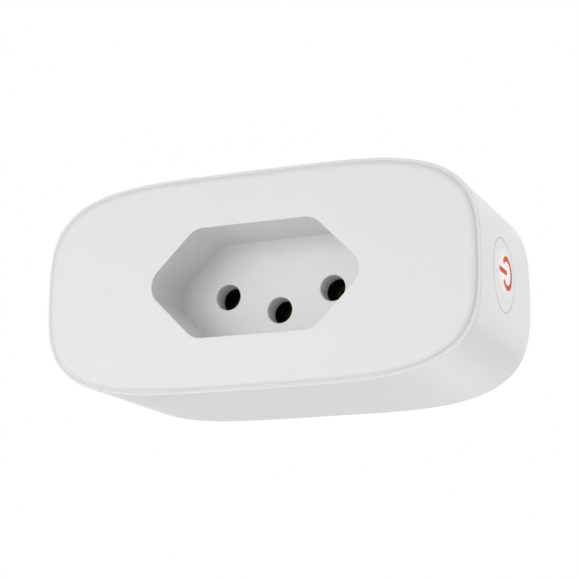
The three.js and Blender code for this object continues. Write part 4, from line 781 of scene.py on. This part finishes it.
HOLE_CHAMFER = 0.06
form = bmesh.new()
hole = stack(form, [
    flat_on(30, on_wall(BUTTON_HOLE_RADIUS)),
    on_wall(BUTTON_HOLE_RADIUS, -HOLE_CHAMFER),
    on_wall(BUTTON_HOLE_RADIUS + HOLE_CHAMFER),
    on_wall(BUTTON_HOLE_RADIUS + HOLE_CHAMFER + 0.5, 0.5),
])
close(form, hole[0], (30, BUTTON_Y, 0))
close(form, hole[-1], (HALF_WIDTH + 2, BUTTON_Y, 0))
carve(rear_housing, [finished("tool", form, black_pbt)], "DIFFERENCE")

# %% [markdown]
# ## The power button
#
# The cap is a thin round shell with a flange that keeps it from falling out. It slides 0.4 mm into the wall
# and a small tact switch pushes it back. Its crown is a set of rings on the end wall's own surface, with a
# rounded edge. Just below the edge a collar fills the hole, so the line round the button is a shallow
# groove and looks faint. The sign is cut right through the crown.
#
# The light guide is a clear disc behind the crown. Ring and bar stand on it and fill the cut, like the second
# shot of a two-colour moulding. Both are strokes with round ends.

# %% Draw the sign's two strokes
def stroke(line, half, steps=8):
    """The outline of a round-ended stroke along a line of 2D points, counterclockwise or clockwise."""
    ways = [(line[min(i + 1, len(line) - 1)] - line[max(i - 1, 0)]).normalized() for i in range(len(line))]
    one_side = [p + half * Vector((-way.y, way.x)) for p, way in zip(line, ways)]
    other_side = [p - half * Vector((-way.y, way.x)) for p, way in zip(line, ways)]
    ends = []
    for point, way in ((line[-1], ways[-1]), (line[0], -ways[0])):
        first = math.atan2(way.y, way.x) + math.pi / 2
        angles = [first - math.pi * step / steps for step in range(1, steps)]
        ends.append([point + half * Vector((math.cos(a), math.sin(a))) for a in angles])
    return one_side + ends[0] + other_side[::-1] + ends[1]


sweep = [SIGN_GAP + (2 * math.pi - 2 * SIGN_GAP) * i / 48 for i in range(49)]
sign_ring = [SIGN_RADIUS * Vector((math.cos(a), math.sin(a))) for a in sweep]
sign_bar = [Vector((BAR_START + BAR_LENGTH * i / 8, 0)) for i in range(9)]


def sign_bodies(half, low, crown):
    """Ring and bar as closed bodies along X. Crown levels are (narrowing, x or None, lift), top first."""
    bodies = []
    for line in (sign_ring, sign_bar):
        outlines = []
        for narrower, x, lift in [*crown, (0, low, 0)]:
            points = [(SIGN_Y - p.x, SIGN_Z + p.y) for p in stroke(line, half - narrower)]
            outlines.append([(side_x(z) + lift if x is None else x, y, z) for y, z in points])
        bodies.append(finished("tool", prism(bmesh.new(), outlines), lit_orange))
    return bodies


print("ring and bar drawn with", len(stroke(sign_ring, 0.3)), "and", len(stroke(sign_bar, 0.3)), "points")

# %% Build the cap and cut the sign through it
CAP_EDGE, COLLAR_DROP = 0.08, 0.12
CAP_INNER_RADIUS = 5.05
FLANGE_RADIUS, FLANGE_OUTER_X, FLANGE_INNER_X = 6.9, cap_low.x + 1.0, cap_low.x
CROWN_UNDERSIDE_X = HALF_WIDTH - 1.2
half_stroke, SIGN_CLEARANCE = SIGN_STROKE / 2, 0.02
form = bmesh.new()
crown = [on_wall(r) for r in (0.8, 1.6, 2.4, 3.2, 4.0, 4.8, 5.4, BUTTON_RADIUS - CAP_EDGE - SUPPORT)]
edge = rounding((BUTTON_RADIUS - CAP_EDGE, 0), (BUTTON_RADIUS, 0), (BUTTON_RADIUS, -CAP_EDGE))
crown += [on_wall(r, out) for r, out in edge]
crown += [on_wall(r, -COLLAR_DROP) for r in (BUTTON_RADIUS, BUTTON_COLLAR_RADIUS)]
below = (
    (BUTTON_COLLAR_RADIUS, FLANGE_OUTER_X), (FLANGE_RADIUS, FLANGE_OUTER_X), (FLANGE_RADIUS, FLANGE_INNER_X),
    (CAP_INNER_RADIUS, FLANGE_INNER_X), (CAP_INNER_RADIUS, CROWN_UNDERSIDE_X),
)
cap = stack(form, crown + [flat_on(x, on_wall(r)) for r, x in below])
close(form, cap[0], (side_x(0), BUTTON_Y, 0))
close(form, cap[-1], (CROWN_UNDERSIDE_X, BUTTON_Y, 0))
power_button = finished("power_button", form, backlit_cap)
cutters = sign_bodies(half_stroke + SIGN_CLEARANCE, CROWN_UNDERSIDE_X - 0.5, [(0, HALF_WIDTH + 1, 0)])
carve(power_button, cutters, "DIFFERENCE")

# %% Build the light guide that fills the sign
GUIDE_OUTER_X, GUIDE_INNER_X, GUIDE_RADIUS = HALF_WIDTH - 1.3, HALF_WIDTH - 2.3, 4.95
form = bmesh.new()
disc_levels = (
    (GUIDE_RADIUS - 0.1, GUIDE_OUTER_X), (GUIDE_RADIUS, GUIDE_OUTER_X - 0.1), (GUIDE_RADIUS, GUIDE_INNER_X),
)
disc = stack(form, [flat_on(x, on_wall(r)) for r, x in disc_levels])
close(form, disc[0], (GUIDE_OUTER_X, BUTTON_Y, 0))
close(form, disc[-1], (GUIDE_INNER_X, BUTTON_Y, 0))
power_sign = finished("lit_power_sign", form, lit_orange)
flush = [(0.04, None, -0.01), (0, None, -0.05)]
carve(power_sign, sign_bodies(half_stroke, GUIDE_OUTER_X - 0.4, flush), "UNION")

# %% [markdown]
# ## The pins
#
# Each pin is turned from 4 mm rod: a rounded tip, a straight contact length, a flange that the retainer plate
# traps and a thin tail that the strap is riveted to. So each is one profile swept round its axis.

# %% Turn the three pins
pins = []
for node, (x, z) in PINS.items():
    form = bmesh.new()
    turned(form, x, z, [
        (0, -6.9), (1.3, -6.9), (1.4, -6.8), (1.4, -4.15), (1.35, -4.0), (3.1, -4.0), (3.2, -3.9),
        (3.2, -2.2), (3.1, -2.1), (2.0, -2.1), (2.0, -1.9), (2.0, PIN_END_Y - 1 - SUPPORT),
        *rounding((2.0, PIN_END_Y - 1), (2.0, PIN_END_Y), (1.0, PIN_END_Y), 8),
        (1.0 - SUPPORT, PIN_END_Y), (0, PIN_END_Y),
    ], count=64)
    pins.append((node, finished(f"{node}_turned", form, turned_nickel)))

# %% [markdown]
# ## The housing screws
#
# Four equal self-tapping screws sit in the counterbores. One is modelled with a domed head, a cross recess
# and a rolled thread, whose rings widen and narrow with the turn so that the crest climbs as a helix.
# Geometry Nodes then set it at four places and turn each differently, since no two stop at the same angle.

# %% Model one screw at the origin, head towards +Y
PITCH, LENGTH, CREST, ROOT = 1.0, 9.0, 1.28, 0.95
SCREW_SIDES, LEVELS_PER_MM = 24, 8
TAPER_LEVELS = 14  # the point widens over these
outlines = [circle(0, 0, 0.25, -LENGTH, SCREW_SIDES)]
for step in range(int(LENGTH * LEVELS_PER_MM) - 4):
    depth = -LENGTH + 0.35 + step / LEVELS_PER_MM
    room = min(1, (step + 2) / TAPER_LEVELS)
    points = []
    for i in range(SCREW_SIDES):
        turn = 2 * math.pi * i / SCREW_SIDES
        ridge = abs(((depth / PITCH + i / SCREW_SIDES) % 1) * 2 - 1) ** 3
        radius = (ROOT + (CREST - ROOT) * ridge) * room
        points.append((radius * math.cos(turn), depth, radius * math.sin(turn)))
    outlines.append(points)
head = [
    (1.2, 0), (2.1, 0), (2.2, 0.1), (2.2, 0.6), (2.12, 0.9), (1.9, 1.2), (1.5, 1.42), (0.9, 1.56), (0.4, 1.6),
]
outlines += [circle(0, 0, radius, depth, SCREW_SIDES) for radius, depth in head]
form = bmesh.new()
rings = stack(form, outlines)
close(form, rings[0], (0, -LENGTH, 0))
close(form, rings[-1], (0, head[-1][1], 0))
one_screw = finished("one_screw", form, zinc_steel)

# %% Press the cross recess into its head
SQUARE = ((1, 1), (-1, 1), (-1, -1), (1, -1))
arms = []
for long_x, long_z in ((1.15, 0.32), (0.32, 1.15)):
    outlines = [
        [(x * long_x * wider, y, z * long_z * wider) for x, z in SQUARE]
        for wider, y in ((0.55, 0.6), (1.0, 2.2))
    ]
    arms.append(finished("tool", prism(bmesh.new(), outlines), zinc_steel))
carve(one_screw, arms, "DIFFERENCE")

# %% The screw set tree
set_tree, given = geometry_tree("screw_set", {
    "Spread X": 0.0, "Spread Z": 0.0, "Depth": 0.0, "Seed": 0, "Material": None,
})
corner_grid = add(set_tree, "GeometryNodeMeshGrid", {
    "Size X": given["Spread X"], "Size Y": given["Spread Z"], "Vertices X": 2, "Vertices Y": 2,
})
depth = add(set_tree, "ShaderNodeCombineXYZ", {"Y": given["Depth"]})
upright = add(set_tree, "GeometryNodeTransform", {
    "Geometry": corner_grid, "Translation": depth, "Rotation": (math.pi / 2, 0, 0),
})
angle = add(set_tree, "FunctionNodeRandomValue", {
    2: 0.0, 3: 2 * math.pi, "Seed": given["Seed"],
}, data_type="FLOAT")
about_y = add(set_tree, "ShaderNodeCombineXYZ", {"Y": angle.outputs[1]})
spin = add(set_tree, "FunctionNodeEulerToRotation", {0: about_y})
placed = add(set_tree, "GeometryNodeInstanceOnPoints", {
    "Points": upright, "Instance": given["Geometry"], "Rotation": spin,
})
end_tree(set_tree, placed, given)

# %% Set the four screws
screw_mesh = one_screw.data
bpy.data.objects.remove(one_screw)
screws_mesh = grown("housing_screws", screw_mesh, set_tree, {
    "Spread X": 2 * SCREW_X * MM, "Spread Z": 2 * SCREW_Z * MM, "Depth": (SCREW_SEAT_Y + 0.05) * MM,
    "Seed": 7, "Material": zinc_steel,
})
housing_screws = as_piece("housing_screws", screws_mesh, zinc_steel)

# %% [markdown]
# ## Wound coils
#
# The relay's coil and the power supply's choke are enamelled copper wire wound on a core. Geometry Nodes
# sweeps a round wire along a spiral curve and joins it to the layers of wire below it, which are one smooth
# sleeve because nobody can see between the turns.

# %% The winding tree
tree, given = geometry_tree("wound_wire", {
    "Turns": 0.0, "Wire radius": 0.0, "Coil radius": 0.0, "Height": 0.0, "Material": None,
})
spiral = add(tree, "GeometryNodeCurveSpiral", {
    "Resolution": 28, "Rotations": given["Turns"], "Start Radius": given["Coil radius"],
    "End Radius": given["Coil radius"], "Height": given["Height"],
})
wire = add(tree, "GeometryNodeCurvePrimitiveCircle", {"Resolution": 8, "Radius": given["Wire radius"]})
swept = add(tree, "GeometryNodeCurveToMesh", {"Curve": spiral, "Profile Curve": wire, "Fill Caps": True})
centred = add(tree, "ShaderNodeMath", {0: given["Height"], 1: -0.5}, operation="MULTIPLY")
lowered = add(tree, "ShaderNodeCombineXYZ", {"Z": centred})
middle = add(tree, "GeometryNodeTransform", {"Geometry": swept, "Translation": lowered})
both = add(tree, "GeometryNodeJoinGeometry", {0: middle})
tree.links.new(given["Geometry"], both.inputs[0])
end_tree(tree, both, given)
winding_tree = tree


# %% Wind both coils
def winding(name, node, inner_radius, wire_radius):
    """A winding in the place of a CAD node, along Y."""
    low, high = corners(node)
    middle = (low + high) / 2
    outer, height = (high.x - low.x) / 2, high.y - low.y
    form = bmesh.new()
    sleeve = outer - wire_radius * 1.6
    half = height / 2
    outline = ((inner_radius, -half), (sleeve, -half), (sleeve, half), (inner_radius, half))
    stack(form, [circle(0, 0, radius, y) for radius, y in outline], back_to_start=True)
    bmesh.ops.rotate(form, verts=form.verts, matrix=Matrix.Rotation(math.pi / 2, 3, "X"))
    bmesh.ops.recalc_face_normals(form, faces=form.faces)
    start = bpy.data.meshes.new(name)
    form.to_mesh(start)
    form.free()
    along = height - 2 * wire_radius
    mesh = grown(name, start, winding_tree, {
        "Turns": math.floor(along / (2.05 * wire_radius)), "Wire radius": wire_radius * MM,
        "Coil radius": (outer - wire_radius) * MM, "Height": along * MM, "Material": enamelled_copper,
    })
    mesh.transform(Matrix.Translation(middle * MM) @ Matrix.Rotation(-math.pi / 2, 4, "X"))
    return as_piece(name, mesh, enamelled_copper, sharp=40)


relay_winding = winding("relay_coil_winding", "relay_coil", 2.3, 0.12)
choke_wire = winding("choke_wire", "choke_winding", 1.7, 0.2)

# %% [markdown]
# ## Everything onto its body
#
# Each new piece rides on the CAD body of the node it stands for, and that node is hidden.
# The remaining nodes, mostly electronics, keep their CAD shape and get a finish by the record's slot.

# %% Ride and replace
places = [
    (front_cover, "housing", "white_shell", ["front_cover"]),
    (rear_housing, "housing", "white_shell", ["rear_housing"]),
    (power_button, "button", "white_shell", ["button_cap"]),
    (power_sign, "button", "lit_amber", ["light_guide"]),
    (housing_screws, "housing", "steel", [f"housing_screw_{i}" for i in (1, 2, 3, 4)]),
    (relay_winding, "housing", "copper_wire", ["relay_coil"]),
    (choke_wire, "housing", "copper_wire", ["choke_winding"]),
    *[(pin, "housing", "nickel_plate", [node]) for node, pin in pins],
]
for piece, body, slot, nodes in places:
    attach(piece, body)
    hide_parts(*nodes)

# %% Finish the nodes that are carried over
FINISHES = {
    "white_shell": white_polycarbonate, "nickel_plate": turned_nickel, "contact_silver": silver_rivet,
    "brass": stamped_brass, "steel": zinc_steel, "black_plastic": black_pbt, "ivory_plastic": ivory_nylon,
    "board_mask": green_mask, "copper_wire": enamelled_copper, "ferrite": fired_ferrite,
    "aluminium": drawn_aluminium, "blue_coating": blue_epoxy, "orange_film": orange_epoxy,
    "lit_amber": lit_orange, "led_white": clear_lens,
}
kept = 0
for part in frame["record"]["subparts"]:
    node = frame["nodes"][part["node"]]
    if not node.hide_render:
        node.material_slots[0].material = FINISHES[part["material_slot"]]
        kept += 1
print(len(places), "pieces rebuilt,", kept, "CAD nodes kept with a finish of their own")

# %% [markdown]
# ## Stage, light and camera
#
# The plug hangs in front of plain white, 40 cm above a pale floor. White plastic shows its form only through
# soft differences in light. The surroundings give most of it, brighter in front of the plug and behind it
# than around it. Four area lights add a little from the front, the left, the right and below. The camera
# sees pure white behind the plug, and the world shader's Light Path node keeps that apart from its light.

# %% Floor
FLOOR_SIZE, FLOOR_HEIGHT = 16, -0.4  # m
bpy.ops.mesh.primitive_plane_add(size=FLOOR_SIZE, location=(0, 0, FLOOR_HEIGHT))
floor = bpy.context.object
floor.name = "pale_floor"
floor_paint, tree, shader, in_mm = start_finish("pale_floor_paint", Roughness=0.8)
clouds = add(tree, "ShaderNodeTexNoise", {"Vector": in_mm, "Scale": 1 / 300})
tone = add(tree, "ShaderNodeMix", {0: clouds, 6: linear("#F6F6F5"), 7: linear("#FAFAF9")}, data_type="RGBA")
feed(tree, shader, Base_Color=tone.outputs[2])
floor.data.materials.append(floor_paint)
floor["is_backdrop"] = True

# %% World
IN_FRONT, AROUND, BEHIND = 0.83, 0.3, 1.43  # how bright the surroundings are on each side
world = bpy.data.worlds.new("white_surroundings")
world.use_nodes = True
tree = world.node_tree
tree.nodes.clear()
seen = add(tree, "ShaderNodeBackground", {"Color": (1, 1, 1, 1)})
way = add(tree, "ShaderNodeTexCoord").outputs["Generated"]
backward = add(tree, "ShaderNodeSeparateXYZ", {0: way}).outputs["Y"]
depth_share = add(tree, "ShaderNodeMapRange", {"Value": backward, "From Min": -1.0, "From Max": 1.0})
brightness = add(tree, "ShaderNodeValToRGB", {"Fac": depth_share})
brightness.color_ramp.elements.new(0.5)
levels = zip((0, 0.5, 1), (IN_FRONT, AROUND, BEHIND))
set_stops(brightness, *[(at, (level, level, level, 1)) for at, level in levels])
lighting = add(tree, "ShaderNodeBackground", {"Color": (1, 1, 1, 1), "Strength": brightness})
is_camera = add(tree, "ShaderNodeLightPath").outputs["Is Camera Ray"]
which = add(tree, "ShaderNodeMixShader", {0: is_camera, 1: lighting, 2: seen})
add(tree, "ShaderNodeOutputWorld", {"Surface": which})
scene = bpy.context.scene
scene.world = world
scene.view_settings.view_transform = "Standard"


# %% Lights
def towards(azimuth, elevation):
    """A direction from the plug: azimuth turns from its front to its right, elevation goes up. In radians."""
    level = math.cos(elevation)
    return Vector((math.sin(azimuth) * level, -math.cos(azimuth) * level, math.sin(elevation)))


def area_light(name, azimuth, elevation, distance, size, watts):
    """A square soft light aimed at the plug. Angles in degrees, distance in mm, size in m."""
    data = bpy.data.lights.new(name, "AREA")
    data.size, data.energy = size, watts
    lamp = bpy.data.objects.new(name, data)
    way = towards(math.radians(azimuth), math.radians(elevation))
    lamp.location = (LIT_POINT + way * distance) * MM
    lamp.rotation_mode = "QUATERNION"
    lamp.rotation_quaternion = (-way).to_track_quat("-Z", "Y")
    scene.collection.objects.link(lamp)


LIT_POINT = Vector((0, -30, 0))
area_light("front_key", -16, 0, 900, 0.5, 1.5)
area_light("left_key", -42, 0, 900, 0.5, 1.15)
area_light("right_fill", 90, 35, 900, 0.6, 1.4)
area_light("below_fill", 160, -50, 450, 0.4, 0.6)

# %% [markdown]
# The camera stands 27 cm away, to the right of the plug and a little below it, and looks slightly upwards.
# Its place is built from azimuth, elevation, a slight roll, distance, and how far the face's middle lies off
# the view's centre.

# %% Camera
AZIMUTH, ELEVATION, ROLL = math.radians(23.02), math.radians(-13.59), math.radians(0.43)
DISTANCE, ASIDE, ABOVE = 273.01, 6.09, -2.03
FACE_MIDDLE = Vector((0, FRONT_Y, 0))
back = towards(AZIMUTH, ELEVATION)
level = Vector((math.cos(AZIMUTH), math.sin(AZIMUTH), 0))
upward = back.cross(level)
right = math.cos(ROLL) * level + math.sin(ROLL) * upward
up = math.cos(ROLL) * upward - math.sin(ROLL) * level
lens = bpy.data.cameras.new("camera")
lens.lens = 104.96
lens.clip_start = 0.01
camera = bpy.data.objects.new("camera", lens)
scene.collection.objects.link(camera)
eye = FACE_MIDDLE + back * DISTANCE + right * ASIDE + up * ABOVE
turned_to = Matrix((right, up, back)).transposed()
camera.matrix_world = Matrix.Translation(eye * MM) @ turned_to.to_4x4()
scene.camera = camera
print("camera at", [round(c) for c in eye], "mm")

# %% [markdown]
# ## Both boxes at the end
#
# The box round the finished looks is printed beside the CAD's own. They should agree to a fraction of a
# millimetre, so that nothing here sticks out of the plug that the simulation knows.

# %% Print both boxes and finish
new_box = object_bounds()
for kind, box in (("CAD", cad_box), ("new", new_box)):
    print(kind, "box mm:", [[round(v / MM, 2) for v in corner] for corner in box])
